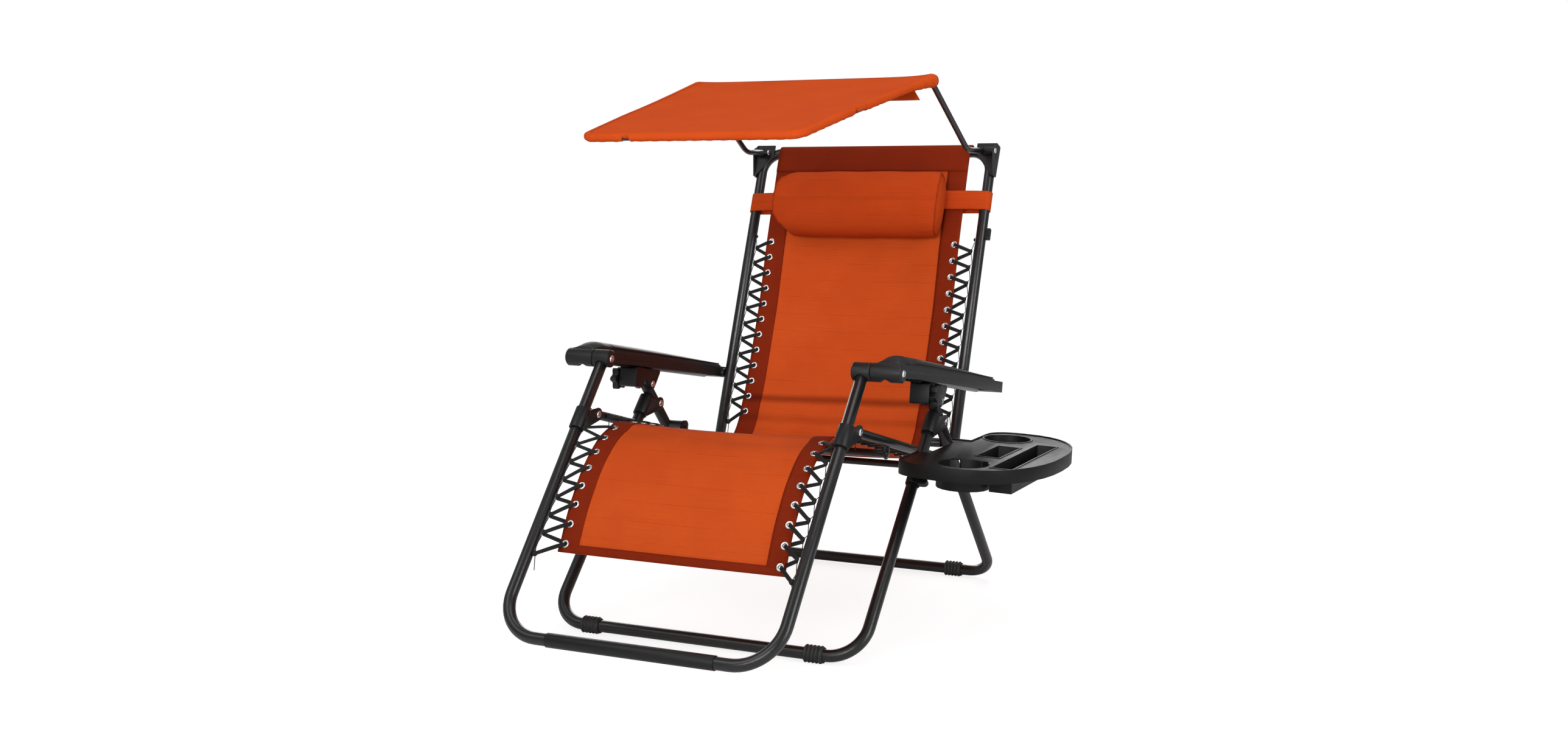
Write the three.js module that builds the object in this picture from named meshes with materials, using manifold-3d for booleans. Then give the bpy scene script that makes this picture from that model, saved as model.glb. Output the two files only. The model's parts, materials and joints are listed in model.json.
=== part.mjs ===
// A reclining sun lounger on a folding steel frame, with a tilting canopy, a head pillow and a side tray.
// Millimetres, +Z up, the sitter faces -Y and +X is the sitter's left, where the tray hangs.
import * as THREE from "three";
import { mergeVertices } from "three/addons/utils/BufferGeometryUtils.js";
import Module from "manifold-3d";

const wasm = await Module();
wasm.setup();

// Common sizes
const DEG = Math.PI / 180;
const GAP = 0.3; // running gap between any two pieces
const OVERRUN = 60; // how far a cutter reaches past what it cuts
const TUBE_R = 12.5; // main frame tubes
const TUBE_SIDES = 12;
const PIN_SIDES = 10;
const BEND_STEPS = 5;
const PIN_R = 4;
const HEAD_R = 7.5;
const HEAD_T = 2.6;

// Half widths, from the middle plane to the centre of a tube
const BASE_HALF = 350;
const FRAMES_APART = 50; // the leg and back frames stand inside the base
const LEG_HALF = BASE_HALF - FRAMES_APART;
const BACK_HALF = LEG_HALF;

// Leg frame: a U whose bar hangs in front and whose tops carry the armrests
const LEG_BAR_Y = -406.5;
const LEG_BAR_Z = 62.5;
const LEG_LEAN = 39.3 * DEG;
const LEG_LENGTH = 645.5;
const LEG_BEND = 90;
const LEG_BRACKET_AT = 494.3;
const LEG_TOP_SHORT = 7; // the tube stops this far below the armrest bolt
const GRIP_IN = 118;
const GRIP_HALF = LEG_HALF - GRIP_IN; // plastic sleeve on the leg bar
const GRIP_R = 14.6;

// Sleeve brackets with two ears
const SLEEVE_R = 16;
const SLEEVE_UP = 22.5;
const SLEEVE_DOWN = 26;
const EAR_RISE = 35.5;
const EAR_REACH = 39;
const EAR_R = 14;
const EAR_T = 3;
const EAR_ROOT_R = 4;

// Base: two crossing U frames
const BASE_BAR_Z = 16;
const FRONT_BAR_Y = -128;
const FRONT_LEAN = 42.9 * DEG;
const FRONT_BEND = 72;
const FRONT_COLLAR_AT = 562.5;
const REAR_BAR_Y = 681.3;
const REAR_BEND = 58;
const LOCK_ABOVE_FOLD = 68.2;
const REAR_TOP_PAST_LOCK = 9;
const SEAT_PIVOT_BELOW_FOLD = 75;

// Ribbed rubber feet
const FOOT_IN = 95;
const FOOT_X = BASE_HALF - FOOT_IN;
const FOOT_HALF = 20;
const FOOT_RIBS = 5;
const FOOT_RIB_H = 2.2;
const FOOT_WALL = 2.2;
const FOOT_SIDES = 12;

// Back frame: an arch
const BACK_BRACKET_Y = 521;
const BACK_BRACKET_Z = 280;
const BACK_LEAN = 20.4 * DEG;
const BACK_LENGTH = 776.7; // bracket to top bar
const BACK_TAIL = 28; // bracket to the open ends
const BACK_BEND = 50;
const BACK_EAR_RISE = 20;
const ARM_REAR_AT = 202.7; // bracket to the armrest pivot

// Seat rails
const RAIL_R = 10;
const RAIL_TAIL = 8;
const TAB_R = 11;
const TAB_HALF = 4;
const CROSS_R = 8;
const CROSS_DROP = 25;
const FRONT_CROSS_AT = 181;
const REAR_CROSS_AT = 458;
const HANGER_T = 4;
const HANGER_R = 12;
const SPACER_R = 10;
const PIN_END_SHORT = 7; // the seat pin ends inside the base tube

// Armrests, in a frame with its origin at the armrest bolt
const ARM_REAR_PIVOT_UP = 4.4173; // above the line from the bolt along the armrest
const BARREL_R = 19;
const CAP_IN = 20;
const CAP_OUT = 20;
const CAP_INNER = LEG_HALF - CAP_IN;
const CAP_OUTER = LEG_HALF + CAP_OUT;
const ARM_OUT = 36;
const ARM_OUTER = BASE_HALF + ARM_OUT;
const ARM_PAST_REAR_PIVOT = 46.566;
const ARM_TOP = 19.5;
const ARM_BOTTOM = -5;
const ARM_WALL = 3;
const ARM_TAIL = 86; // solid rear end that holds the rod
const ARM_CORNER = 9;
const PAD_FRONT = 46;
const PAD_END = 43; // pad's end to the armrest's rear end
const PAD_RISE = 7;
const PAD_INSET = 6;
const PAD_CHAMFER = 4;
const PAD_NOSE = 40;
const ARM_ROD_R = 8;
const ARM_ROD_UP = -2;
const NOTCH_R = 13; // saddle for the base tube under the barrel
const NOTCH_DEPTH = 8;
const BARREL_CHAMFER = 2;
const BOSS_R = 11;

// Lock under each armrest, along it from the lock's pivot and up from the bolt's line
const LOCK_HALF = 21.5;
const LOCK_AHEAD = 78;
const LOCK_STEP_AHEAD = 40;
const LOCK_BEHIND = 30.4;
const LOCK_TOP = -6.5;
const LOCK_BOTTOM = -52;
const LOCK_LUG_R = 13;
const LOCK_BRIDGE = 8;
const LOCK_CORNER = 5;
const LOCK_DROP = 1.5; // the rear part's top below the front part's
const FORK_HALF = 13;
const FORK_CLEAR = 18; // room round the tube end inside the fork
const ROD_CLEAR = 1;
const KNOB_AHEAD = 62.8125;
const KNOB_UP = -34;
const KNOB_R = 21;
const KNOB_LOBES = 6;
const KNOB_LOBE = 3.6;
const KNOB_T = 15;
const KNOB_STAND = 3.5;
const KNOB_POINTS = 30;
const STEM_R = 4.5;
const STEM_DEEP = 22;
const NECK_R = 9;

// Canopy
const CANOPY_IN = 15;
const CANOPY_HALF = BACK_HALF - CANOPY_IN;
const CANOPY_PIVOT_DOWN = 6.5;
const CANOPY_PIVOT_FORWARD = 26;
const CANOPY_TUBE_R = 6.5;
const CANOPY_SIDES = 10;
const CANOPY_BEND_STEPS = 3;
const REAR_BAR_R = 5.8;
const REAR_BAR_SET = 3;
const CANOPY_TAIL = 6;
const CANOPY_ELBOW = [-108, -1]; // from the pivot, as y and z
const CANOPY_REAR = [-346, 146];
const CANOPY_CREST = [-748, 56];
const CANOPY_FRONT = [-931, 12];
const CANOPY_REAR_IN = 4;
const CANOPY_REAR_HALF = CANOPY_HALF - CANOPY_REAR_IN;
const CANOPY_FRONT_IN = 48;
const CANOPY_FRONT_HALF = CANOPY_HALF - CANOPY_FRONT_IN;
const ELBOW_BEND = 40;
const REAR_BEND_R = 22;
const FRONT_CORNER_BEND = 30;
const CREST_BEND = 500;
const CLOTH_T = 2.5;
const CANOPY_HEM = 20;
const CANOPY_VALANCE = 36;
const CANOPY_ARM_SLIT = 3;
const LUG_R = 10;
const BRACKET_T = 3.5;
const CORNER_DOWN = 64;
const CORNER_UP = 16;
const CORNER_IN = 46;

// Sling, pillow and strap
const SLING_IN = 49;
const SLING_HALF = BACK_HALF - SLING_IN;
const SLING_T = 2.6;
const SEAT_SAG = 34;
const SLING_WRAP = 200 * DEG;
const WRAP_STEPS = 8;
const PILLOW_IN = 38;
const PILLOW_HALF = SLING_HALF - PILLOW_IN;
const PILLOW_TALL = 162;
const PILLOW_DEEP = 86;
const PILLOW_DOWN = 145; // top bar to pillow middle
const STRAP_DOWN = 137;
const PILLOW_ROUND = 0.62;
const PILLOW_AROUND = 24;
const PILLOW_ALONG = 16;
const PILLOW_END_ROUND = 0.22;
const STRAP_WIDE = 46;
const STRAP_T = 2;
const STRAP_FRONT = 16.8;
const CLIP_DOWN = 196;
const CLIP_TALL = 20;
const CLIP_OUT = 9;
const CLIP_HALF = 7;

// Lacing
const CORD_R = 2.3;
const CORD_SIDES = 6;
const LACE_TURN = 4.4;
const BACK_EYELETS = 12;
const BACK_FIRST_EYELET = 235.5; // top bar to the first eyelet
const LEG_EYELETS = 8;
const EYELET_PITCH = 39.4;
const LEG_EYELET_PITCH = 41.9;
const LEG_FIRST_EYELET = 3.6;
const LEG_TUBE_PITCH = 37;
const SEAT_EYELETS = 12;
const SEAT_EYELET_PITCH = 39.4;
const SEAT_FIRST_EYELET = 42;

// Side tray
const TRAY_TOP = 377;
const TRAY_TILT = 2 * DEG;
const TRAY_INNER = -5; // from the base tube line
const TRAY_MID_INNER = 18;
const TRAY_REAR_INNER = 45;
const TRAY_OUTER = 278;
const TRAY_FRONT_Y = 38;
const TRAY_REAR_Y = 545;
const TRAY_SHOULDER = 118;
const TRAY_CORNER_Y = 92;
const TRAY_STEP_Y = 388;
const TRAY_SKIRT = 26;
const TRAY_WALL = 3;
const TRAY_RIM = 2.5;
const TRAY_STEPS = 9;
const TRAY_FULL = 2.3; // fuller than an ellipse, whose power is 2
const CUP_R = 52;
const CUP_RING = 3.5;
const WELL_DEEP = 46;
const WELL_WALL = 2.4;
const FRONT_CUP = [122, 118];
const REAR_CUP = [104, 462];
const CUP_NOTCH_HALF = 14;
const CUP_NOTCH_OUT = 13;
const CUP_NOTCH_TURN = 38 * DEG;
const PHONE_SLOT = [140, 290, 24, 72]; // middle x, middle y, half width, half length
const TABLET_SLOT = [206, 262, 21, 158];
const SLOT_DEEP = 46;
const CLAMP_AT = 416; // up the front base tube
const CLAMP_HALF = 9;
const CLAMP_R = 15.5;
const CLAMP_EAR = 24;
const CLAMP_EAR_R = 8;
const CLAMP_EAR_T = 13;

// Finishes
const steel = new THREE.MeshStandardMaterial({ color: 0x1c1c1e, roughness: 0.38, metalness: 0.35 });
const plastic = new THREE.MeshStandardMaterial({ color: 0x1d1d1f, roughness: 0.55, metalness: 0 });
const rubber = new THREE.MeshStandardMaterial({ color: 0x161617, roughness: 0.8, metalness: 0 });
const bright = new THREE.MeshStandardMaterial({ color: 0xb9babd, roughness: 0.3, metalness: 1 });
const mesh = new THREE.MeshStandardMaterial({ color: 0xc8461a, roughness: 0.85, metalness: 0 });
const elastic = new THREE.MeshStandardMaterial({ color: 0x141414, roughness: 0.7, metalness: 0 });

// The side plane: a Vector2 holds y and z
const place = (y, z) => new THREE.Vector2(y, z);
const leaning = (angle) => place(Math.sin(angle), Math.cos(angle));
const rearward = (d) => place(d.y, -d.x); // a quarter turn towards the rear
const along = (from, d, far, across = 0) =>
  from.clone().addScaledVector(d, far).addScaledVector(rearward(d), across);
const at = (x, p) => new THREE.Vector3(x, p.x, p.y);

const legDir = leaning(LEG_LEAN);
const legBar = place(LEG_BAR_Y, LEG_BAR_Z);
const armPivot = along(legBar, legDir, LEG_LENGTH);
const legBracket = along(legBar, legDir, LEG_BRACKET_AT);
const kneePivot = along(legBracket, legDir, EAR_RISE, EAR_REACH);

const frontDir = leaning(FRONT_LEAN);
const frontBar = place(FRONT_BAR_Y, BASE_BAR_Z);
const collar = along(frontBar, frontDir, FRONT_COLLAR_AT);
const foldPivot = along(collar, frontDir, EAR_RISE, EAR_REACH);
const rearBar = place(REAR_BAR_Y, BASE_BAR_Z);
const rearDir = foldPivot.clone().sub(rearBar).normalize();
const lockPivot = along(foldPivot, rearDir, LOCK_ABOVE_FOLD);
const seatPivot = along(foldPivot, rearDir, -SEAT_PIVOT_BELOW_FOLD);

const backDir = leaning(BACK_LEAN);
const backBracket = place(BACK_BRACKET_Y, BACK_BRACKET_Z);
const hipPivot = along(backBracket, backDir, BACK_EAR_RISE, -EAR_REACH);
const backTop = along(backBracket, backDir, BACK_LENGTH);
const armRearPivot = along(backBracket, backDir, ARM_REAR_AT);
const canopyPivot = along(backTop, backDir, -CANOPY_PIVOT_DOWN, -CANOPY_PIVOT_FORWARD);
const onBack = (down, forward) => along(backTop, backDir, -down, -forward);

const railDir = hipPivot.clone().sub(kneePivot).normalize();
const railLength = hipPivot.distanceTo(kneePivot);
const onRail = (far, down = 0) => along(kneePivot, railDir, far, down);

const toArmRear = armRearPivot.clone().sub(armPivot);
const armReach = Math.sqrt(toArmRear.lengthSq() - ARM_REAR_PIVOT_UP * ARM_REAR_PIVOT_UP);
const armDir = toArmRear
  .clone()
  .multiplyScalar(armReach)
  .addScaledVector(rearward(toArmRear), ARM_REAR_PIVOT_UP)
  .normalize();
const onArm = (far, up) => along(armPivot, armDir, far, -up);
const armRear = armReach + ARM_PAST_REAR_PIVOT;
const padRear = armRear - PAD_END;
const lockAt = lockPivot.clone().sub(armPivot).dot(armDir);
const lockFront = lockAt - LOCK_AHEAD;
const lockStep = lockAt - LOCK_STEP_AHEAD;
const lockRear = lockAt + LOCK_BEHIND;
const knobAlong = lockAt - KNOB_AHEAD;

// Solids
function solid(geometry) {
  const g = geometry.index ? geometry.toNonIndexed() : geometry.clone();
  g.deleteAttribute("normal");
  g.deleteAttribute("uv");
  const merged = mergeVertices(g, 1e-4);
  const vertProperties = merged.attributes.position.array;
  const triVerts = new Uint32Array(merged.index.array);
  const made = new wasm.Manifold(new wasm.Mesh({ numProp: 3, vertProperties, triVerts }));
  if (made.volume() > 0) return made;
  for (let i = 0; i < triVerts.length; i += 3) {
    [triVerts[i + 1], triVerts[i + 2]] = [triVerts[i + 2], triVerts[i + 1]];
  }
  return new wasm.Manifold(new wasm.Mesh({ numProp: 3, vertProperties, triVerts }));
}
const holeR = (r) => (r + GAP) / Math.cos(Math.PI / TUBE_SIDES); // clears a tube however both are turned
const join = (...solids) => solids.reduce((a, b) => a.add(b));
const largest = (made) => made.decompose().sort((a, b) => b.volume() - a.volume())[0];
const cut = (from, ...cutters) => cutters.reduce((a, b) => a.subtract(b), from);

// A bar along X, from one x to another, about a point of the side plane.
function barX(p, r, from, to, sides = TUBE_SIDES) {
  const g = new THREE.CylinderGeometry(r, r, Math.abs(to - from), sides);
  g.rotateZ(Math.PI / 2);
  g.translate((from + to) / 2, p.x, p.y);
  return solid(g);
}

// A bar between two points of space.
function bar(a, b, r, sides = TUBE_SIDES) {
  const g = new THREE.CylinderGeometry(r, r, a.distanceTo(b), sides);
  const turn = new THREE.Quaternion().setFromUnitVectors(
    new THREE.Vector3(0, 1, 0),
    b.clone().sub(a).normalize(),
  );
  g.applyQuaternion(turn);
  g.translate((a.x + b.x) / 2, (a.y + b.y) / 2, (a.z + b.z) / 2);
  return solid(g);
}

// A plate cut from an outline in the side plane, from one x to another.
function plate(shape, from, to, curveSegments = BEND_STEPS) {
  const g = new THREE.ExtrudeGeometry(shape, {
    depth: Math.abs(to - from),
    bevelEnabled: false,
    curveSegments,
  });
  g.translate(0, 0, Math.min(from, to));
  g.applyMatrix4(
    new THREE.Matrix4().makeBasis(
      new THREE.Vector3(0, 1, 0),
      new THREE.Vector3(0, 0, 1),
      new THREE.Vector3(1, 0, 0),
    ),
  );
  return solid(g);
}

// The outline that a belt makes round a set of discs, each [place, radius].
function belt(discs, steps = TUBE_SIDES) {
  const dots = [];
  for (const [c, r] of discs) {
    for (let i = 0; i < steps; i++) {
      const a = (2 * Math.PI * i) / steps;
      dots.push(place(c.x + r * Math.cos(a), c.y + r * Math.sin(a)));
    }
  }
  dots.sort((a, b) => a.x - b.x || a.y - b.y);
  const turn = (o, a, b) => (a.x - o.x) * (b.y - o.y) - (a.y - o.y) * (b.x - o.x);
  const half = (list) => {
    const hull = [];
    for (const d of list) {
      while (hull.length > 1 && turn(hull.at(-2), hull.at(-1), d) <= 0) hull.pop();
      hull.push(d);
    }
    hull.pop();
    return hull;
  };
  return new THREE.Shape([...half(dots), ...half(dots.reverse())]);
}

// A path through chosen points, with a ring at each.
class RingPath extends THREE.Curve {
  constructor(points) {
    super();
    this.points = points;
  }
  getPointAt(u, target = new THREE.Vector3()) {
    return target.copy(this.points[Math.round(u * (this.points.length - 1))]);
  }
  getTangentAt(u, target = new THREE.Vector3()) {
    const i = Math.round(u * (this.points.length - 1));
    const before = this.points[Math.max(i - 1, 0)];
    const after = this.points[Math.min(i + 1, this.points.length - 1)];
    const here = this.points[i];
    target.set(0, 0, 0);
    if (i > 0) target.add(here.clone().sub(before).normalize());
    if (i < this.points.length - 1) target.add(after.clone().sub(here).normalize());
    return target.normalize();
  }
}

// A round tube through points.
function sweep(points, r, sides = TUBE_SIDES) {
  const ring = new THREE.Shape().absarc(0, 0, r, 0, 2 * Math.PI, false);
  return solid(
    new THREE.ExtrudeGeometry(ring, {
      steps: points.length - 1,
      curveSegments: sides / 2,
      extrudePath: new RingPath(points),
    }),
  );
}

// A polyline whose inner corners are bent to given radii.
function bent(points, radii, steps = BEND_STEPS) {
  const path = [points[0]];
  for (let i = 1; i < points.length - 1; i++) {
    const p = points[i];
    const a = points[i - 1].clone().sub(p).normalize();
    const b = points[i + 1].clone().sub(p).normalize();
    const half = a.angleTo(b) / 2;
    const r = Array.isArray(radii) ? radii[i - 1] : radii;
    const centre = p
      .clone()
      .addScaledVector(a.clone().add(b).normalize(), r / Math.sin(half));
    const start = p.clone().addScaledVector(a, r / Math.tan(half)).sub(centre);
    const end = p.clone().addScaledVector(b, r / Math.tan(half)).sub(centre);
    const axis = start.clone().cross(end).normalize();
    const angle = start.angleTo(end);
    for (let k = 0; k <= steps; k++) {
      path.push(start.clone().applyAxisAngle(axis, (angle * k) / steps).add(centre));
    }
  }
  path.push(points.at(-1));
  return path;
}

// A thin sheet that follows a line of the side plane, across the chair.
function ribbon(line, thick, half) {
  const rail = (offset) =>
    line.map((p, i) => {
      const a = line[Math.max(i - 1, 0)];
      const b = line[Math.min(i + 1, line.length - 1)];
      const d = b.clone().sub(a).normalize();
      return along(p, d, 0, offset);
    });
  return plate(new THREE.Shape([...rail(thick / 2), ...rail(-thick / 2).reverse()]), -half, half);
}

const group = new THREE.Group();
function add(name, made, material) {
  const m = made.getMesh();
  const g = new THREE.BufferGeometry();
  g.setAttribute("position", new THREE.BufferAttribute(Float32Array.from(m.vertProperties), 3));
  g.setIndex(new THREE.BufferAttribute(Uint32Array.from(m.triVerts), 1));
  g.computeVertexNormals();
  const piece = new THREE.Mesh(g, material);
  piece.name = name;
  group.add(piece);
}
const sides = [
  ["left", -1],
  ["right", 1],
];

// A rivet across both ears of a bracket.
function rivet(p, x, reach) {
  return join(
    barX(p, PIN_R, x - reach - GAP, x + reach + GAP, PIN_SIDES),
    barX(p, HEAD_R, x - reach - HEAD_T, x - reach),
    barX(p, HEAD_R, x + reach, x + reach + HEAD_T),
  );
}
const pinHole = (p, x, reach) =>
  barX(p, PIN_R + GAP, x - reach - OVERRUN, x + reach + OVERRUN, PIN_SIDES);

// A sleeve on a tube with two ears that reach a pivot.
function earBracket(centre, d, pivot, side, x, eared) {
  const up = along(centre, d, SLEEVE_UP);
  const down = along(centre, d, -SLEEVE_DOWN);
  const ear = belt([
    [pivot, EAR_R],
    [along(centre, d, SLEEVE_UP - EAR_ROOT_R, side * EAR_ROOT_R), EAR_ROOT_R],
    [along(centre, d, EAR_ROOT_R - SLEEVE_DOWN, side * EAR_ROOT_R), EAR_ROOT_R],
  ]);
  return cut(
    join(
      bar(at(x, down), at(x, up), SLEEVE_R),
      plate(ear, x - eared - EAR_T, x - eared),
      plate(ear, x + eared, x + eared + EAR_T),
    ),
    bar(at(x, along(down, d, -OVERRUN)), at(x, along(up, d, OVERRUN)), holeR(TUBE_R)),
    pinHole(pivot, x, 0),
  );
}
const RAIL_EARS = RAIL_R + GAP;
const TUBE_EARS = TUBE_R + GAP;

// Leg frame
const legTop = along(legBar, legDir, LEG_LENGTH - LEG_TOP_SHORT);
add(
  "leg_frame",
  sweep(
    bent(
      [at(-LEG_HALF, legTop), at(-LEG_HALF, legBar), at(LEG_HALF, legBar), at(LEG_HALF, legTop)],
      LEG_BEND,
    ),
    TUBE_R,
  ),
  steel,
);
add(
  "leg_bar_grip",
  cut(
    barX(legBar, GRIP_R, -GRIP_HALF, GRIP_HALF),
    barX(legBar, holeR(TUBE_R), -GRIP_HALF - OVERRUN, GRIP_HALF + OVERRUN),
  ),
  plastic,
);
for (const [side, s] of sides) {
  const x = s * LEG_HALF;
  add(`leg_bracket_${side}`, earBracket(legBracket, legDir, kneePivot, 1, x, RAIL_EARS), plastic);
  add(`knee_rivet_${side}`, rivet(kneePivot, x, RAIL_EARS + EAR_T + GAP), bright);
}

// Base frames
const frontTop = along(collar, frontDir, SLEEVE_UP - PIN_R);
const rearTop = along(lockPivot, rearDir, REAR_TOP_PAST_LOCK);
const uFrame = (top, bottom, bend) =>
  sweep(
    bent(
      [at(-BASE_HALF, top), at(-BASE_HALF, bottom), at(BASE_HALF, bottom), at(BASE_HALF, top)],
      bend,
    ),
    TUBE_R,
  );
add("base_front_frame", uFrame(frontTop, frontBar, FRONT_BEND), steel);
let rearFrame = cut(
  uFrame(rearTop, rearBar, REAR_BEND),
  pinHole(foldPivot, 0, BASE_HALF),
  pinHole(lockPivot, 0, BASE_HALF),
);
for (const [, s] of sides) {
  const x = s * BASE_HALF;
  rearFrame = cut(
    rearFrame,
    barX(seatPivot, PIN_R + GAP, x - s * OVERRUN, x + s * (PIN_END_SHORT + GAP), PIN_SIDES),
  );
}
add("base_rear_frame", rearFrame, steel);
for (const [side, s] of sides) {
  const x = s * BASE_HALF;
  add(`fold_collar_${side}`, earBracket(collar, frontDir, foldPivot, 1, x, TUBE_EARS), plastic);
  add(`fold_rivet_${side}`, rivet(foldPivot, x, TUBE_EARS + EAR_T + GAP), bright);
}

// Feet: ribbed sleeves round the floor bars, cut flat where they stand
function foot(p, x) {
  const inner = holeR(TUBE_R);
  const root = inner + FOOT_WALL;
  const crown = root + FOOT_RIB_H;
  const pitch = (2 * FOOT_HALF) / FOOT_RIBS;
  const profile = [place(inner, -FOOT_HALF)];
  for (let i = 0; i < FOOT_RIBS; i++) {
    const from = -FOOT_HALF + i * pitch;
    profile.push(
      place(crown, from),
      place(crown, from + (pitch * 3) / 5),
      place(root, from + (pitch * 4) / 5),
    );
  }
  profile.push(place(root, FOOT_HALF), place(inner, FOOT_HALF), place(inner, -FOOT_HALF));
  const g = new THREE.LatheGeometry(profile, FOOT_SIDES);
  g.rotateZ(Math.PI / 2);
  g.translate(x, p.x, p.y);
  const floor = new THREE.BoxGeometry(2 * OVERRUN, 2 * OVERRUN, OVERRUN);
  floor.translate(x, p.x, -OVERRUN / 2);
  return cut(solid(g), solid(floor));
}
for (const [side, s] of sides) {
  add(`foot_front_${side}`, foot(frontBar, s * FOOT_X), rubber);
  add(`foot_rear_${side}`, foot(rearBar, s * FOOT_X), rubber);
}

// Seat rails, each with a welded tab, spacer and stud for the pivot on the base
const frontCross = onRail(FRONT_CROSS_AT, CROSS_DROP);
const rearCross = onRail(REAR_CROSS_AT, CROSS_DROP);
for (const [side, s] of sides) {
  const x = s * LEG_HALF;
  const foot = onRail(seatPivot.clone().sub(kneePivot).dot(railDir));
  const tab = belt([
    [seatPivot, TAB_R],
    [along(foot, railDir, TAB_R), RAIL_R / 2],
    [along(foot, railDir, -TAB_R), RAIL_R / 2],
  ]);
  add(
    `seat_rail_${side}`,
    join(
      cut(
        bar(at(x, onRail(-RAIL_TAIL)), at(x, onRail(railLength + RAIL_TAIL)), RAIL_R),
        pinHole(kneePivot, x, 0),
        pinHole(hipPivot, x, 0),
      ),
      plate(tab, x - TAB_HALF, x + TAB_HALF),
      barX(seatPivot, SPACER_R, x, s * (BASE_HALF - TUBE_R - GAP)),
      barX(seatPivot, PIN_R, x, s * (BASE_HALF + PIN_END_SHORT), PIN_SIDES),
      barX(seatPivot, HEAD_R, x, x - s * (TAB_HALF + HEAD_T)),
    ),
    steel,
  );
}

// Cross bars with a hanger at each end that saddles the rail
function crossBar(p, far) {
  const top = onRail(far);
  const hanger = belt([
    [p, HANGER_R],
    [along(top, railDir, HANGER_R, -RAIL_R / 2), PIN_R],
    [along(top, railDir, -HANGER_R, -RAIL_R / 2), PIN_R],
  ]);
  let made = barX(p, CROSS_R, -LEG_HALF, LEG_HALF);
  for (const [, s] of sides) {
    const x = s * LEG_HALF;
    made = join(
      made,
      plate(hanger, x - HANGER_T / 2, x + HANGER_T / 2),
      barX(p, HEAD_R, x, x + s * (HANGER_T / 2 + HEAD_T)),
    );
    made = cut(
      made,
      bar(at(x, onRail(far - OVERRUN)), at(x, onRail(far + OVERRUN)), holeR(RAIL_R)),
    );
  }
  return largest(made);
}
add("seat_cross_bar_front", crossBar(frontCross, FRONT_CROSS_AT), steel);
add("seat_cross_bar_rear", crossBar(rearCross, REAR_CROSS_AT), steel);

// Back frame
const backEnd = along(backBracket, backDir, -BACK_TAIL);
const backPath = bent(
  [at(-BACK_HALF, backEnd), at(-BACK_HALF, backTop), at(BACK_HALF, backTop), at(BACK_HALF, backEnd)],
  BACK_BEND,
);
add("back_frame", sweep(backPath, TUBE_R), steel);
for (const [side, s] of sides) {
  const x = s * BACK_HALF;
  add(`back_bracket_${side}`, earBracket(backBracket, backDir, hipPivot, -1, x, RAIL_EARS), plastic);
  add(`hip_rivet_${side}`, rivet(hipPivot, x, RAIL_EARS + EAR_T + GAP), bright);
}

// Armrests
function barrel(from, to) {
  const length = Math.abs(to - from);
  const chamfered = BARREL_R - BARREL_CHAMFER;
  const g = new THREE.LatheGeometry(
    [
      place(0, 0),
      place(chamfered, 0),
      place(BARREL_R, BARREL_CHAMFER),
      place(BARREL_R, length - BARREL_CHAMFER),
      place(chamfered, length),
      place(0, length),
    ],
    2 * TUBE_SIDES,
  );
  g.rotateZ(-Math.PI / 2);
  g.translate(Math.min(from, to), armPivot.x, armPivot.y);
  return solid(g);
}
// A block in the armrest's frame: an outline seen from above, between two heights.
function armBlock(shape, low, high) {
  const g = new THREE.ExtrudeGeometry(shape, {
    depth: high - low,
    bevelEnabled: false,
    curveSegments: BEND_STEPS,
  });
  g.translate(0, 0, low);
  const lift = rearward(armDir).negate();
  g.applyMatrix4(
    new THREE.Matrix4().makeBasis(
      new THREE.Vector3(1, 0, 0),
      new THREE.Vector3(0, armDir.x, armDir.y),
      new THREE.Vector3(0, lift.x, lift.y),
    ),
  );
  g.translate(0, armPivot.x, armPivot.y);
  return solid(g);
}
function armOutline(a, b, from, to, corner) {
  const low = Math.min(a, b);
  const high = Math.max(a, b);
  const shape = new THREE.Shape();
  shape.moveTo(low, from);
  shape.lineTo(high, from);
  shape.lineTo(high, to - corner);
  shape.quadraticCurveTo(high, to, high - corner, to);
  shape.lineTo(low + corner, to);
  shape.quadraticCurveTo(low, to, low, to - corner);
  shape.closePath();
  return shape;
}
function armrest(s) {
  const inner = s * (CAP_OUTER + GAP);
  const outer = s * ARM_OUTER;
  const wall = s * ARM_WALL;
  const inset = s * PAD_INSET;
  const taper = s * PAD_CHAMFER;
  const shell = armBlock(armOutline(inner, outer, 0, armRear, ARM_CORNER), ARM_BOTTOM, ARM_TOP);
  const hollow = armBlock(
    armOutline(inner + wall, outer - wall, BARREL_R, armRear - ARM_TAIL, 0),
    ARM_BOTTOM - OVERRUN,
    ARM_TOP - ARM_WALL,
  );
  const padLow = armBlock(
    armOutline(inner + inset, outer - inset, PAD_FRONT, padRear, ARM_CORNER),
    ARM_TOP - GAP,
    ARM_TOP + PAD_RISE / 2,
  );
  const padHigh = armBlock(
    armOutline(inner + inset + taper, outer - inset - taper, PAD_FRONT + PAD_NOSE, padRear, ARM_CORNER),
    ARM_TOP,
    ARM_TOP + PAD_RISE,
  );
  const boss = barX(armRearPivot, BOSS_R, s * (BACK_HALF + TUBE_R + GAP), inner + wall);
  const notchAt = along(armPivot, place(0, 1), NOTCH_DEPTH - BARREL_R - NOTCH_R);
  const notch = bar(
    at(s * BASE_HALF, along(notchAt, place(1, 0), -OVERRUN)),
    at(s * BASE_HALF, along(notchAt, place(1, 0), OVERRUN)),
    NOTCH_R,
  );
  return cut(
    join(barrel(inner, outer), cut(shell, hollow), padLow, padHigh, boss),
    notch,
    pinHole(armPivot, (inner + outer) / 2, 0),
  );
}
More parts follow.
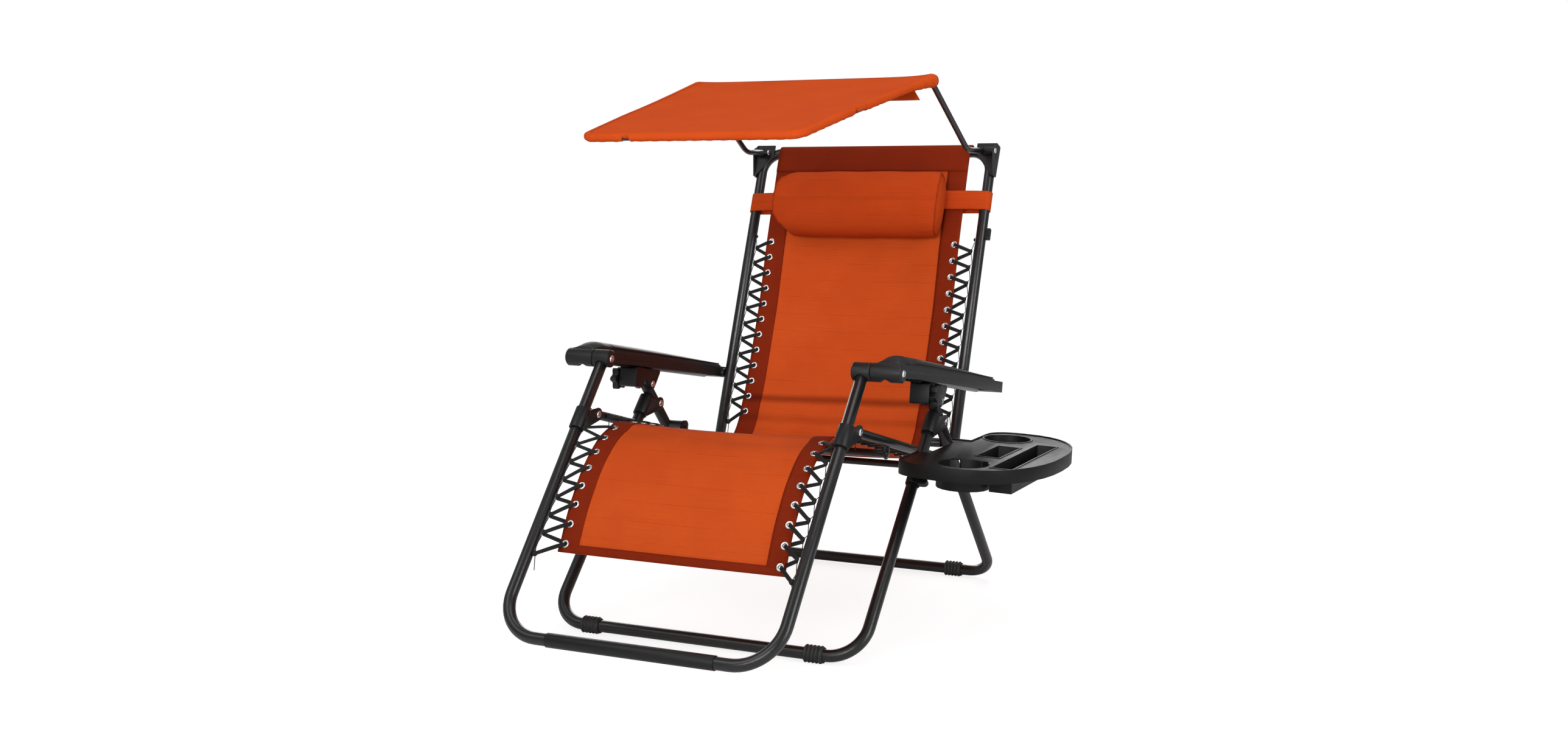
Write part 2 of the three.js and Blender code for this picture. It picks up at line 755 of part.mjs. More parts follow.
for (const [side, s] of sides) {
  const legSocket = bar(
    at(s * LEG_HALF, along(armPivot, legDir, -OVERRUN)),
    at(s * LEG_HALF, along(armPivot, legDir, GAP - LEG_TOP_SHORT)),
    holeR(TUBE_R),
  );
  add(
    `armrest_cap_${side}`,
    cut(barrel(s * CAP_INNER, s * CAP_OUTER), legSocket, pinHole(armPivot, s * LEG_HALF, 0)),
    plastic,
  );
  add(`armrest_${side}`, armrest(s), plastic);
  add(
    `armrest_bolt_${side}`,
    join(
      barX(armPivot, PIN_R, s * (CAP_INNER - GAP), s * (ARM_OUTER + GAP), PIN_SIDES),
      barX(armPivot, HEAD_R, s * (CAP_INNER - GAP - HEAD_T), s * (CAP_INNER - GAP)),
      barX(armPivot, HEAD_R, s * (ARM_OUTER + GAP), s * (ARM_OUTER + GAP + HEAD_T)),
    ),
    bright,
  );
  add(
    `armrest_rod_${side}`,
    bar(
      at(s * BASE_HALF, onArm(BARREL_R + GAP, ARM_ROD_UP)),
      at(s * BASE_HALF, onArm(armRear - ARM_TAIL - GAP, ARM_ROD_UP)),
      ARM_ROD_R,
    ),
    steel,
  );
}

// Locks: a saddle under the armrest rod and a fork on the rear base tube
function lockBody(s) {
  const x = s * BASE_HALF;
  const block = belt([
    [onArm(lockFront + LOCK_CORNER, LOCK_TOP - LOCK_CORNER), LOCK_CORNER],
    [onArm(lockStep - LOCK_CORNER, LOCK_TOP - LOCK_CORNER), LOCK_CORNER],
    [onArm(lockFront + LOCK_CORNER, LOCK_BOTTOM + LOCK_CORNER), LOCK_CORNER],
    [onArm(lockStep - LOCK_CORNER, LOCK_BOTTOM + LOCK_CORNER), LOCK_CORNER],
  ]);
  const vee = belt([
    [lockPivot, LOCK_LUG_R],
    [onArm(lockStep - LOCK_LUG_R, LOCK_TOP - LOCK_DROP - LOCK_CORNER), LOCK_CORNER],
    [onArm(lockRear - LOCK_CORNER, LOCK_TOP - LOCK_DROP - LOCK_CORNER), LOCK_CORNER],
  ]);
  const fork = belt([
    [lockPivot, FORK_CLEAR],
    [along(lockPivot, rearDir, -OVERRUN), FORK_CLEAR],
    [onArm(lockRear + OVERRUN, LOCK_BOTTOM - OVERRUN), FORK_CLEAR],
    [onArm(lockRear + OVERRUN, LOCK_TOP - LOCK_BRIDGE - FORK_CLEAR), FORK_CLEAR],
  ]);
  const rodWay = armBlock(
    armOutline(
      x - ARM_ROD_R - ROD_CLEAR,
      x + ARM_ROD_R + ROD_CLEAR,
      lockFront - OVERRUN,
      lockRear + OVERRUN,
      0,
    ),
    ARM_ROD_UP - ARM_ROD_R - ROD_CLEAR,
    OVERRUN,
  );
  const knobAt = onArm(knobAlong, KNOB_UP);
  return cut(
    join(
      plate(block, x - LOCK_HALF, x + LOCK_HALF),
      plate(vee, x - LOCK_HALF, x + LOCK_HALF),
      barX(knobAt, NECK_R, x + s * (LOCK_HALF - GAP), x + s * (LOCK_HALF + KNOB_STAND - GAP)),
    ),
    plate(fork, x - FORK_HALF, x + FORK_HALF),
    rodWay,
    pinHole(lockPivot, x, 0),
    barX(knobAt, STEM_R + GAP, x + s * (LOCK_HALF - STEM_DEEP - GAP), x + s * OVERRUN, PIN_SIDES),
  );
}
function knob(s) {
  const centre = onArm(knobAlong, KNOB_UP);
  const outline = [];
  for (let i = 0; i < KNOB_POINTS; i++) {
    const a = (2 * Math.PI * i) / KNOB_POINTS;
    const r = KNOB_R + KNOB_LOBE * Math.cos(KNOB_LOBES * a);
    outline.push(place(centre.x + r * Math.cos(a), centre.y + r * Math.sin(a)));
  }
  const face = s * (BASE_HALF + LOCK_HALF + KNOB_STAND);
  return join(
    plate(new THREE.Shape(outline), face, face + s * KNOB_T),
    barX(centre, STEM_R, face + s * GAP, s * (BASE_HALF + LOCK_HALF - STEM_DEEP), PIN_SIDES),
  );
}
for (const [side, s] of sides) {
  add(`lock_body_${side}`, lockBody(s), plastic);
  add(`lock_knob_${side}`, knob(s), plastic);
  add(`lock_rivet_${side}`, rivet(lockPivot, s * BASE_HALF, LOCK_HALF + GAP), bright);
}

// Canopy frame: one bent tube from pivot to pivot, and a rear bar
const fromPivot = ([y, z]) => canopyPivot.clone().add(place(y, z));
const canopyRear = fromPivot(CANOPY_REAR);
const canopyCrest = fromPivot(CANOPY_CREST);
const canopyFront = fromPivot(CANOPY_FRONT);
const crestShare = (canopyRear.x - canopyCrest.x) / (canopyRear.x - canopyFront.x);
const crestHalf = CANOPY_REAR_HALF + (CANOPY_FRONT_HALF - CANOPY_REAR_HALF) * crestShare;
const elbow = fromPivot(CANOPY_ELBOW);
const pastPivot = canopyPivot
  .clone()
  .addScaledVector(canopyPivot.clone().sub(elbow).normalize(), CANOPY_TAIL);
const canopySide = (s) => [
  at(s * CANOPY_HALF, pastPivot),
  at(s * CANOPY_HALF, elbow),
  at(s * CANOPY_REAR_HALF, canopyRear),
  at(s * crestHalf, canopyCrest),
  at(s * CANOPY_FRONT_HALF, canopyFront),
];
const canopyRadii = [ELBOW_BEND, REAR_BEND_R, CREST_BEND, FRONT_CORNER_BEND];
add(
  "canopy_frame",
  cut(
    join(
      sweep(
        bent(
          [...canopySide(-1), ...canopySide(1).reverse()],
          [...canopyRadii, ...canopyRadii.slice().reverse()],
          CANOPY_BEND_STEPS,
        ),
        CANOPY_TUBE_R,
        CANOPY_SIDES,
      ),
      barX(
        place(canopyRear.x - REAR_BAR_SET, canopyRear.y - REAR_BAR_SET),
        REAR_BAR_R,
        -CANOPY_REAR_HALF,
        CANOPY_REAR_HALF,
        CANOPY_SIDES,
      ),
    ),
    pinHole(canopyPivot, 0, CANOPY_HALF),
  ),
  steel,
);

// Corner brackets that carry the canopy pivots
for (const [side, s] of sides) {
  const edge = s * (BACK_HALF + TUBE_R + GAP);
  const cheek = belt([
    [onBack(CORNER_DOWN - PIN_R, 0), PIN_R],
    [onBack(CORNER_DOWN - PIN_R, TUBE_R), PIN_R],
    [onBack(PIN_R - CORNER_UP, -TUBE_R / 2), PIN_R],
    [onBack(PIN_R - CORNER_UP, TUBE_R), PIN_R],
    [canopyPivot, LUG_R],
  ]);
  const gusset = new THREE.Shape([
    place(edge + s * BRACKET_T, CORNER_UP),
    place(edge - s * CORNER_IN, CORNER_UP),
    place(edge - s * CORNER_IN, CORNER_UP - 2 * TUBE_R),
    place(edge - s * BRACKET_T, -CORNER_DOWN),
    place(edge + s * BRACKET_T, -CORNER_DOWN),
  ]);
  const g = new THREE.ExtrudeGeometry(gusset, { depth: BRACKET_T, bevelEnabled: false });
  const forward = rearward(backDir).negate();
  g.applyMatrix4(
    new THREE.Matrix4().makeBasis(
      new THREE.Vector3(1, 0, 0),
      new THREE.Vector3(0, backDir.x, backDir.y),
      new THREE.Vector3(0, forward.x, forward.y),
    ),
  );
  const front = along(backTop, backDir, 0, -TUBE_R - GAP);
  g.translate(0, front.x, front.y);
  add(
    `corner_bracket_${side}`,
    cut(
      join(
        plate(cheek, edge, edge + s * BRACKET_T),
        solid(g),
        barX(canopyPivot, LUG_R, s * (CANOPY_HALF + CANOPY_TUBE_R + GAP), edge + s * BRACKET_T),
      ),
      sweep(backPath, holeR(TUBE_R)),
      pinHole(canopyPivot, edge, 0),
    ),
    plastic,
  );
  const inner = s * (CANOPY_HALF - CANOPY_TUBE_R - GAP);
  const outer = edge + s * (BRACKET_T + GAP);
  add(
    `canopy_rivet_${side}`,
    join(
      barX(canopyPivot, PIN_R, inner, outer, PIN_SIDES),
      barX(canopyPivot, HEAD_R - 1, inner - s * HEAD_T, inner),
      barX(canopyPivot, HEAD_R - 1, outer, outer + s * HEAD_T),
    ),
    bright,
  );
}

// Canopy cloth: a sheet with turned-down hems over the frame
const clothLift = CANOPY_TUBE_R + 2 * GAP;
const clothEdge = CANOPY_TUBE_R + 2 * GAP + CLOTH_T;
function canopyBand(top, deep) {
  const line = [
    canopyRear.clone().add(canopyRear.clone().sub(canopyCrest).setLength(OVERRUN)),
    ...bent([canopyRear, canopyCrest, canopyFront].map((p) => at(0, p)), CREST_BEND, CANOPY_BEND_STEPS)
      .slice(1, -1)
      .map((p) => place(p.y, p.z)),
    canopyFront.clone().add(canopyFront.clone().sub(canopyCrest).setLength(OVERRUN)),
  ];
  const raised = line.map((p) => place(p.x, p.y + top));
  const lowered = line.map((p) => place(p.x, p.y + top - deep)).reverse();
  return plate(new THREE.Shape([...raised, ...lowered]), -2 * CANOPY_HALF, 2 * CANOPY_HALF);
}
function canopyPlan(inset) {
  const rear = canopyRear.x + clothEdge - inset;
  const front = canopyFront.x - clothEdge + inset;
  const wide = CANOPY_REAR_HALF + clothEdge - inset;
  const narrow = CANOPY_FRONT_HALF + clothEdge - inset;
  const corner = FRONT_CORNER_BEND + clothEdge - inset;
  const corners = [
    [-wide, rear],
    [-narrow, front],
    [narrow, front],
    [wide, rear],
  ];
  const rounded = bent(
    corners.map(([x, y]) => new THREE.Vector3(x, y, 0)),
    corner,
    CANOPY_BEND_STEPS,
  );
  const shape = new THREE.Shape(rounded.map((p) => place(p.x, p.y)));
  const g = new THREE.ExtrudeGeometry(shape, { depth: 3 * CANOPY_HALF, bevelEnabled: false });
  g.translate(0, 0, canopyFront.y - CANOPY_HALF);
  return solid(g);
}
const hood = cut(
  canopyBand(clothLift + CLOTH_T, CANOPY_HEM).intersect(canopyPlan(0)),
  canopyBand(clothLift, CANOPY_HEM + OVERRUN).intersect(canopyPlan(CLOTH_T)),
);
const armSlits = sides.map(([, s]) =>
  bar(
    at(s * CANOPY_REAR_HALF, canopyRear),
    at(s * CANOPY_HALF, elbow),
    CANOPY_TUBE_R + CANOPY_ARM_SLIT,
  ),
);
const valance = new THREE.BoxGeometry(
  2 * (CANOPY_REAR_HALF - 2 * CANOPY_TUBE_R),
  CLOTH_T,
  CANOPY_VALANCE,
);
valance.translate(
  0,
  canopyRear.x + clothEdge - CLOTH_T / 2,
  canopyRear.y + clothLift + CLOTH_T - CANOPY_VALANCE / 2,
);
add("canopy_cloth", cut(join(hood, solid(valance)), ...armSlits), mesh);

// Sling: shares of the length it follows, and offsets as shares of the tube radius
const backSagShares = [
  [0.06, 1.12],
  [0.12, 1.02],
  [0.2, 0.86],
  [0.3, 0.66],
  [0.4, 0.2],
  [0.5, -0.28],
  [0.62, -0.3],
  [0.72, -0.3],
  [0.79, -0.1],
  [0.83, 0.24],
];
const seatSagShares = [
  [1.006, 0.0],
  [0.97, 0.26],
  [0.91, 0.5],
  [0.82, 0.55],
  [0.7, 0.44],
  [0.58, 0.37],
  [0.44, 0.36],
  [0.3, 0.36],
  [0.17, 0.46],
  [0.08, 0.56],
  [0.03, 0.68],
];
const legSagShares = [
  [-0.03, 0.79],
  [0.044, 0.546],
  [0.117, 0.364],
  [0.254, 0.18],
  [0.403, 0.09],
  [0.543, 0.11],
  [0.682, 0.173],
  [0.816, 0.3],
  [0.944, 0.468],
  [1, 0.527],
];
const LEG_SLING_LENGTH = 295;
const LEG_SLING_SET = 56;
const slingR = (TUBE_R + GAP) / Math.cos(SLING_WRAP / WRAP_STEPS / 2) + SLING_T / 2;
const backLine = [];
for (let i = 0; i <= WRAP_STEPS; i++) {
  const a = (SLING_WRAP * i) / WRAP_STEPS;
  backLine.push(onBack(-slingR * Math.sin(SLING_WRAP - a), slingR * Math.cos(SLING_WRAP - a)));
}
for (const [share, lift] of backSagShares) {
  backLine.push(onBack(share * BACK_LENGTH, lift * TUBE_R));
}
const seatLine = seatSagShares.map(([share, drop]) =>
  onRail(share * railLength, drop * SEAT_SAG - RAIL_R),
);
const legLine = legSagShares.map(([share, set]) =>
  along(legBracket, legDir, -share * LEG_SLING_LENGTH, set * LEG_SLING_SET),
);
add("sling_back", ribbon(backLine, SLING_T, SLING_HALF), mesh);
add("sling_seat", ribbon(seatLine, SLING_T, SLING_HALF), mesh);
add("sling_leg", ribbon(legLine, SLING_T, SLING_HALF), mesh);

// A point on a line of the side plane, by distance from its start.
function walk(line, far) {
  let left = far;
  for (let i = 1; i < line.length; i++) {
    const step = line[i].distanceTo(line[i - 1]);
    if (left <= step || i === line.length - 1) {
      return line[i - 1].clone().lerp(line[i], left / step);
    }
    left -= step;
  }
  return line.at(-1);
}

// Lacing: a cord that goes to and fro between the eyelets and the tube
function lacing(s, count, eyelet, tube, edge) {
  const inner = s * (SLING_HALF + GAP + CORD_R);
  const outer = s * (edge - GAP - CORD_R);
  const points = [];
  for (let i = 0; i < count; i++) {
    const here = eyelet(i);
    const turnIn = here.clone().sub(eyelet(i + 1)).setLength(LACE_TURN);
    points.push(
      at(inner, here.clone().add(turnIn)),
      at(inner, here.clone().sub(turnIn)),
    );
    if (i === count - 1) continue;
    const middle = tube(i + 0.5);
    points.push(
      at(outer, middle.clone().add(turnIn)),
      at(outer, middle.clone().sub(turnIn)),
    );
  }
  return sweep(points, CORD_R, CORD_SIDES);
}
const backEyelet = (i) => {
  const down = BACK_FIRST_EYELET + i * EYELET_PITCH;
  return walk(backLine.slice(WRAP_STEPS), down);
};
const backTube = (i) => onBack(BACK_FIRST_EYELET + i * EYELET_PITCH, 0);
const legEyelet = (i) => walk(legLine, LEG_FIRST_EYELET + i * LEG_EYELET_PITCH);
const legTube = (i) =>
  along(
    legBracket,
    legDir,
    -SLEEVE_DOWN - 2 * CORD_R - LACE_TURN - (i - 0.5) * LEG_TUBE_PITCH,
  );
const seatEyelet = (i) => walk(seatLine, SEAT_FIRST_EYELET + i * SEAT_EYELET_PITCH);
const seatTube = (i) => onRail(railLength - SEAT_FIRST_EYELET - i * SEAT_EYELET_PITCH);
for (const [side, s] of sides) {
  add(
    `lacing_seat_${side}`,
    lacing(s, SEAT_EYELETS, seatEyelet, seatTube, LEG_HALF - RAIL_R),
    elastic,
  );
  add(
    `lacing_back_${side}`,
    lacing(s, BACK_EYELETS, backEyelet, backTube, BACK_HALF - TUBE_R),
    elastic,
  );
  add(
    `lacing_leg_${side}`,
    lacing(s, LEG_EYELETS, legEyelet, legTube, LEG_HALF - TUBE_R),
    elastic,
  );
}

// Pillow: a crowned bolster, flat at the back
{
  const g = new THREE.SphereGeometry(1, PILLOW_AROUND, PILLOW_ALONG);
  g.rotateZ(Math.PI / 2);
  const position = g.attributes.position;
  const power = (v, e) => Math.sign(v) * Math.abs(v) ** e;
  const front = STRAP_FRONT + STRAP_T / 2 + GAP;
  for (let i = 0; i < position.count; i++) {
    const x = power(position.getX(i), PILLOW_END_ROUND);
    const ring = Math.hypot(position.getY(i), position.getZ(i));
    const a = Math.atan2(position.getZ(i), position.getY(i));
    const swell = ring ** PILLOW_END_ROUND;
    const forward = power(Math.cos(a), PILLOW_ROUND) * swell;
    const down = (power(Math.sin(a), PILLOW_ROUND) * swell * PILLOW_TALL) / 2;
    const depth = front + (PILLOW_DEEP * (forward > 0 ? 0.34 + 0.66 * forward : 0.34 + 0.34 * forward));
    const p = onBack(PILLOW_DOWN - down, depth);
    position.setXYZ(i, PILLOW_HALF * x, p.x, p.y);
  }
  add("pillow", solid(g), mesh);
}

// Strap: a flat band round both back tubes, in front of the sling
{
  const band = (r, front) => {
    const shape = new THREE.Path();
    shape.absarc(BACK_HALF, 0, r, -Math.PI / 2, Math.PI / 2, false);
    shape.lineTo(PILLOW_HALF, front);
    shape.lineTo(-PILLOW_HALF, front);
    shape.absarc(-BACK_HALF, 0, r, Math.PI / 2, (3 * Math.PI) / 2, false);
    shape.closePath();
    return shape;
  };
  const inner = TUBE_R + 2 * GAP;
  const outline = new THREE.Shape(band(inner + STRAP_T, STRAP_FRONT + STRAP_T / 2).getPoints(BEND_STEPS));
  outline.holes.push(new THREE.Path(band(inner, STRAP_FRONT - STRAP_T / 2).getPoints(BEND_STEPS)));
  const g = new THREE.ExtrudeGeometry(outline, { depth: STRAP_WIDE, bevelEnabled: false });
  const forward = rearward(backDir).negate();
  g.applyMatrix4(
    new THREE.Matrix4().makeBasis(
      new THREE.Vector3(-1, 0, 0),
      new THREE.Vector3(0, forward.x, forward.y),
      new THREE.Vector3(0, backDir.x, backDir.y),
    ),
  );
  const low = onBack(STRAP_DOWN + STRAP_WIDE / 2, 0);
  g.translate(0, low.x, low.y);
  add("pillow_strap", solid(g), mesh);
}

// Stop clip on the right back tube
{
  const clip = belt([
    [onBack(CLIP_DOWN, CLIP_HALF - PIN_R), PIN_R],
    [onBack(CLIP_DOWN, PIN_R - CLIP_HALF), PIN_R],
    [onBack(CLIP_DOWN + CLIP_TALL, CLIP_HALF - PIN_R), PIN_R],
    [onBack(CLIP_DOWN + CLIP_TALL, PIN_R - CLIP_HALF), PIN_R],
  ]);
  add(
    "back_tube_clip",
    cut(plate(clip, BACK_HALF + TUBE_R / 2, BACK_HALF + TUBE_R + CLIP_OUT), sweep(backPath, holeR(TUBE_R))),
    plastic,
  );
}

// Side tray, in a frame on the base tube line that tilts a little outward
{
  const tilt = new THREE.Matrix4()
    .makeTranslation(BASE_HALF, 0, TRAY_TOP)
    .multiply(new THREE.Matrix4().makeRotationY(TRAY_TILT));
  const slab = (shape, low, high) => {
    const g = new THREE.ExtrudeGeometry(shape, {
      depth: high - low,
      bevelEnabled: false,
      curveSegments: TRAY_STEPS,
    });
    g.translate(0, 0, low);
    g.applyMatrix4(tilt);
    return solid(g);
  };
  const plan = (inset) => {
    const inner = TRAY_INNER + inset;
    const middle = (TRAY_FRONT_Y + TRAY_REAR_Y) / 2;
    const shape = new THREE.Shape();
    shape.moveTo(inner, TRAY_CORNER_Y + inset);
    shape.quadraticCurveTo(inner + inset, TRAY_FRONT_Y + inset, TRAY_SHOULDER, TRAY_FRONT_Y + inset);
    for (let i = 1; i <= 2 * TRAY_STEPS; i++) {
      const a = (Math.PI * i) / (2 * TRAY_STEPS) - Math.PI / 2;
      shape.lineTo(
        TRAY_SHOULDER + (TRAY_OUTER - TRAY_SHOULDER - inset) * Math.abs(Math.cos(a)) ** (2 / TRAY_FULL),
        middle + (middle - TRAY_FRONT_Y - inset) * Math.sign(Math.sin(a)) * Math.abs(Math.sin(a)) ** (2 / TRAY_FULL),
      );
    }
    shape.quadraticCurveTo(
      TRAY_REAR_INNER + inset,
      TRAY_REAR_Y - inset,
      TRAY_REAR_INNER + inset,
      TRAY_REAR_Y - TRAY_SHOULDER / 2,
    );
    shape.lineTo(TRAY_REAR_INNER + inset, TRAY_STEP_Y - inset);
    shape.lineTo(inner, TRAY_STEP_Y - inset);
    shape.closePath();
    return shape;
  };
  const round = (r, [x, y]) => new THREE.Shape().absarc(x, y, r, 0, 2 * Math.PI, false);
  const box = (grow, [x, y, halfX, halfY]) => {
    const a = halfX + grow;
    const b = halfY + grow;
    return new THREE.Shape([place(x - a, y - b), place(x + a, y - b), place(x + a, y + b), place(x - a, y + b)]);
  };
  const wells = [
    [round(CUP_R + WELL_WALL, FRONT_CUP), round(CUP_R, FRONT_CUP), WELL_DEEP],
    [round(CUP_R + WELL_WALL, REAR_CUP), round(CUP_R, REAR_CUP), WELL_DEEP],
    [box(WELL_WALL, PHONE_SLOT), box(0, PHONE_SLOT), SLOT_DEEP],
    [box(WELL_WALL, TABLET_SLOT), box(0, TABLET_SLOT), SLOT_DEEP],
  ];
  let tray = cut(
    slab(plan(0), -TRAY_SKIRT, TRAY_RIM),
    slab(plan(TRAY_WALL), -TRAY_SKIRT - OVERRUN, -TRAY_WALL),
    slab(plan(TRAY_WALL), 0, OVERRUN),
  );
  for (const [outer, , deep] of wells) {
    tray = join(tray, slab(outer, -deep - WELL_WALL, -TRAY_WALL / 2));
  }
  tray = join(
    tray,
    slab(round(CUP_R + CUP_RING, REAR_CUP), -TRAY_WALL / 2, TRAY_RIM / 2),
    slab(box(CUP_RING, PHONE_SLOT), -TRAY_WALL / 2, TRAY_RIM / 2),
    slab(box(CUP_RING, TABLET_SLOT), -TRAY_WALL / 2, TRAY_RIM / 2),
  );
  for (const [, inner, deep] of wells) tray = cut(tray, slab(inner, -deep, OVERRUN));
  for (const turn of [Math.PI / 2 + CUP_NOTCH_TURN, Math.PI / 2 - CUP_NOTCH_TURN]) {
    const c = place(
      FRONT_CUP[0] + (CUP_R - CUP_NOTCH_HALF / 2) * Math.cos(turn),
      FRONT_CUP[1] + (CUP_R - CUP_NOTCH_HALF / 2) * Math.sin(turn),
    );
    const notch = round(CUP_NOTCH_OUT, [c.x, c.y]);
    tray = cut(tray, slab(notch, -TRAY_SKIRT, OVERRUN));
  }
  // Hooks: room for the base tubes, open towards the seat so that the tray slides off outwards
  const trayHook = holeR(TUBE_R);
  const hook = (p, d) => {
    const a = along(p, d, -2 * OVERRUN);
    const b = along(p, d, 2 * OVERRUN);
    const strip = new THREE.Shape([
      along(a, d, 0, trayHook),
      along(b, d, 0, trayHook),
      along(b, d, 0, -trayHook),
      along(a, d, 0, -trayHook),
    ]);
    return join(
      bar(at(BASE_HALF, a), at(BASE_HALF, b), trayHook),
      plate(strip, BASE_HALF - OVERRUN, BASE_HALF),
    );
  };
  const trayAcross = (d, bar) => along(bar, d, (TRAY_TOP - bar.y) / d.y);
  const frontHook = trayAcross(frontDir, frontBar);
  const rearHook = trayAcross(rearDir, rearBar);
  const between = new THREE.Shape([
    place(TRAY_INNER - OVERRUN, frontHook.x - trayHook),
    place(TRAY_MID_INNER, frontHook.x - trayHook / 2),
    place(TRAY_MID_INNER, rearHook.x),
    place(TRAY_INNER - OVERRUN, rearHook.x),
  ]);
  const hooked = cut(
    tray,
    slab(between, -OVERRUN * 2, OVERRUN),
    hook(frontHook, frontDir),
    hook(rearHook, rearDir),
  );
  add("side_tray", largest(hooked), plastic);
}

// Tray clamp on the right front base tube
{
  const p = along(frontBar, frontDir, CLAMP_AT);
  const low = along(p, frontDir, -CLAMP_HALF);
  const high = along(p, frontDir, CLAMP_HALF);
  const outline = new THREE.Shape();
  outline.moveTo(CLAMP_R / 3, -CLAMP_EAR_R);
  outline.lineTo(CLAMP_EAR, -CLAMP_EAR_R);
  outline.absarc(CLAMP_EAR, 0, CLAMP_EAR_R, -Math.PI / 2, Math.PI / 2, false);
  outline.lineTo(CLAMP_R / 3, CLAMP_EAR_R);
  outline.closePath();
  const ear = new THREE.ExtrudeGeometry(outline, {
    depth: CLAMP_EAR_T,
    bevelEnabled: false,
    curveSegments: TRAY_STEPS,
  });
  ear.translate(0, 0, -CLAMP_EAR_T / 2);
  ear.applyMatrix4(
    new THREE.Matrix4().makeBasis(
      new THREE.Vector3(1, 0, 0),
      at(0, frontDir),
      at(0, rearward(frontDir).negate()),
    ),
  );
  ear.translate(BASE_HALF, p.x, p.y);
  add(
    "tray_clamp",
    cut(
      join(
        bar(at(BASE_HALF, low), at(BASE_HALF, high), CLAMP_R),
        solid(ear),
      ),
      bar(
        at(BASE_HALF, along(low, frontDir, -OVERRUN)),
        at(BASE_HALF, along(high, frontDir, OVERRUN)),
        holeR(TUBE_R),
      ),
    ),
    plastic,
  );
}

// The origin is the middle of the footprint, on the floor
const size = new THREE.Box3().setFromObject(group);
const middle = size.getCenter(new THREE.Vector3());
group.position.set(-middle.x, -middle.y, -size.min.z);

export default group;
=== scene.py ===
import json
import math
from functools import partialmethod

import bmesh
import bpy
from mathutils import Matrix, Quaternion, Vector


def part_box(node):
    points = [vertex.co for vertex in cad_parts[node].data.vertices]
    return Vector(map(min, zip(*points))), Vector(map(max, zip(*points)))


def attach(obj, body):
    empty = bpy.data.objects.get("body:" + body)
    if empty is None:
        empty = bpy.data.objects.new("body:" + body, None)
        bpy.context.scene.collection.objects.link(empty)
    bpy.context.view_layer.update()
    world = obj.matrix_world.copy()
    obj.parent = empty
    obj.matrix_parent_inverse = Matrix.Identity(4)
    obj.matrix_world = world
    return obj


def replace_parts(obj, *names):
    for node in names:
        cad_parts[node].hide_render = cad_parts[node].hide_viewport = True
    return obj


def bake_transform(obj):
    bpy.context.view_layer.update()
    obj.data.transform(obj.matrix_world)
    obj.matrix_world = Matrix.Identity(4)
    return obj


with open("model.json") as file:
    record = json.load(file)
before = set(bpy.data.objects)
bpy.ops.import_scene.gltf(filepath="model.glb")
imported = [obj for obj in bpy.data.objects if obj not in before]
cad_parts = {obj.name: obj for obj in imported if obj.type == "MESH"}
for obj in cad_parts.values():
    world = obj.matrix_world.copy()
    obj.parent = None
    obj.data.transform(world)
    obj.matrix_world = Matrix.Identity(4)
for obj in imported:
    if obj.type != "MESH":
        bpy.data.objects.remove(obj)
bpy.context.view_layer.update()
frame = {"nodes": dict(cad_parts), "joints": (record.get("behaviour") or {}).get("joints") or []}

# Sizes are in millimetres, as in the source of the solids.
TUBE_R = 12.5
LEG_HALF = 300
LEG_BAR = (-406.5, 62.5)
LEG_LEAN = math.radians(39.3)
LEG_LENGTH = 645.5
LEG_BEND = 90
LEG_BRACKET_AT = 494.3
LEG_TOP_SHORT = 7
EAR_RISE = 35.5
EAR_REACH = 39
BASE_HALF = 350
FRONT_BAR = (-128, 16)
FRONT_LEAN = math.radians(42.9)
FRONT_BEND = 72
FRONT_COLLAR_AT = 562.5
FRONT_TUBE_PAST_COLLAR = 18.5
REAR_BAR = (681.3, 16)
REAR_BEND = 58
LOCK_ABOVE_FOLD = 68.2
REAR_TOP_PAST_LOCK = 9
BACK_HALF = 300
BACK_BRACKET = (521, 280)
BACK_LEAN = math.radians(20.4)
BACK_LENGTH = 776.7
BACK_TAIL = 28
BACK_BEND = 50
BACK_EAR_RISE = 20
RAIL_R = 10
CANOPY_HALF = 285
CANOPY_REAR_HALF = 281
CANOPY_FRONT_HALF = 237
CANOPY_TUBE_R = 6.5
CANOPY_BAR_R = 5.8
CANOPY_PIVOT_DOWN = 6.5
CANOPY_PIVOT_FORWARD = 26
# The canopy's elbow, rear corner, crest and front corner from its pivot, and its bends there
CANOPY_LINE = ((-108, -1), (-346, 146), (-748, 56), (-931, 12))
CANOPY_BENDS = [80, 22, 500, 30]
SLING_HALF = 251
SLING_SAG = 7
SLING_COLUMNS = 36
BEND_REACH = 14
BAND_WIDE = 50
LEG_BAND_WIDE = 43
TOP_HEM = 56
LEG_HEM = 20
CLOTH_T = 1.2
EYELET_X = 239
HOLE_R = 4.6
CORD_R = 2.3
THIN_CORD_R = 0.9
HOOK_IN = 6.5
TIE_IN = 5
STRAP_WIDE = 46
STRAP_DOWN = 137
STRAP_FRONT = 16.6
PILLOW_HALF = 211
PILLOW_TALL = 160
PILLOW_DEEP = 85
PILLOW_DOWN = 150
PILLOW_ACROSS = 5.5
PILLOW_DRAWN_IN = 14
PILLOW_BACK = 18.4
PILLOW_MIDDLE = 0.42
# Painted shade in the folds of the back: way down from its top bar, width, and depth of the painted shade
CREASE_SHADES = ((625, 17, 0.62), (677, 16, 0.24))
# The armrest's crowned pad: its side line, its ends along that line, and its heights
ARM_LINE = ((17.466, 554.471), (627.206, 454.623))
PAD_FRONT = -3
PAD_REAR = 591
PAD_X = 353.3
PAD_HALF = 24.2
PAD_LOW = 18.6
PAD_TOP = 26.3
CROWN_RISE = 10.5
KNOB_STEM_R = 13
KNOB_PLATE_R = 17
FLAP_HALF = 257
FLAP_DROP = 42
HEM_STEPS = 14
HEM_TURN = 248
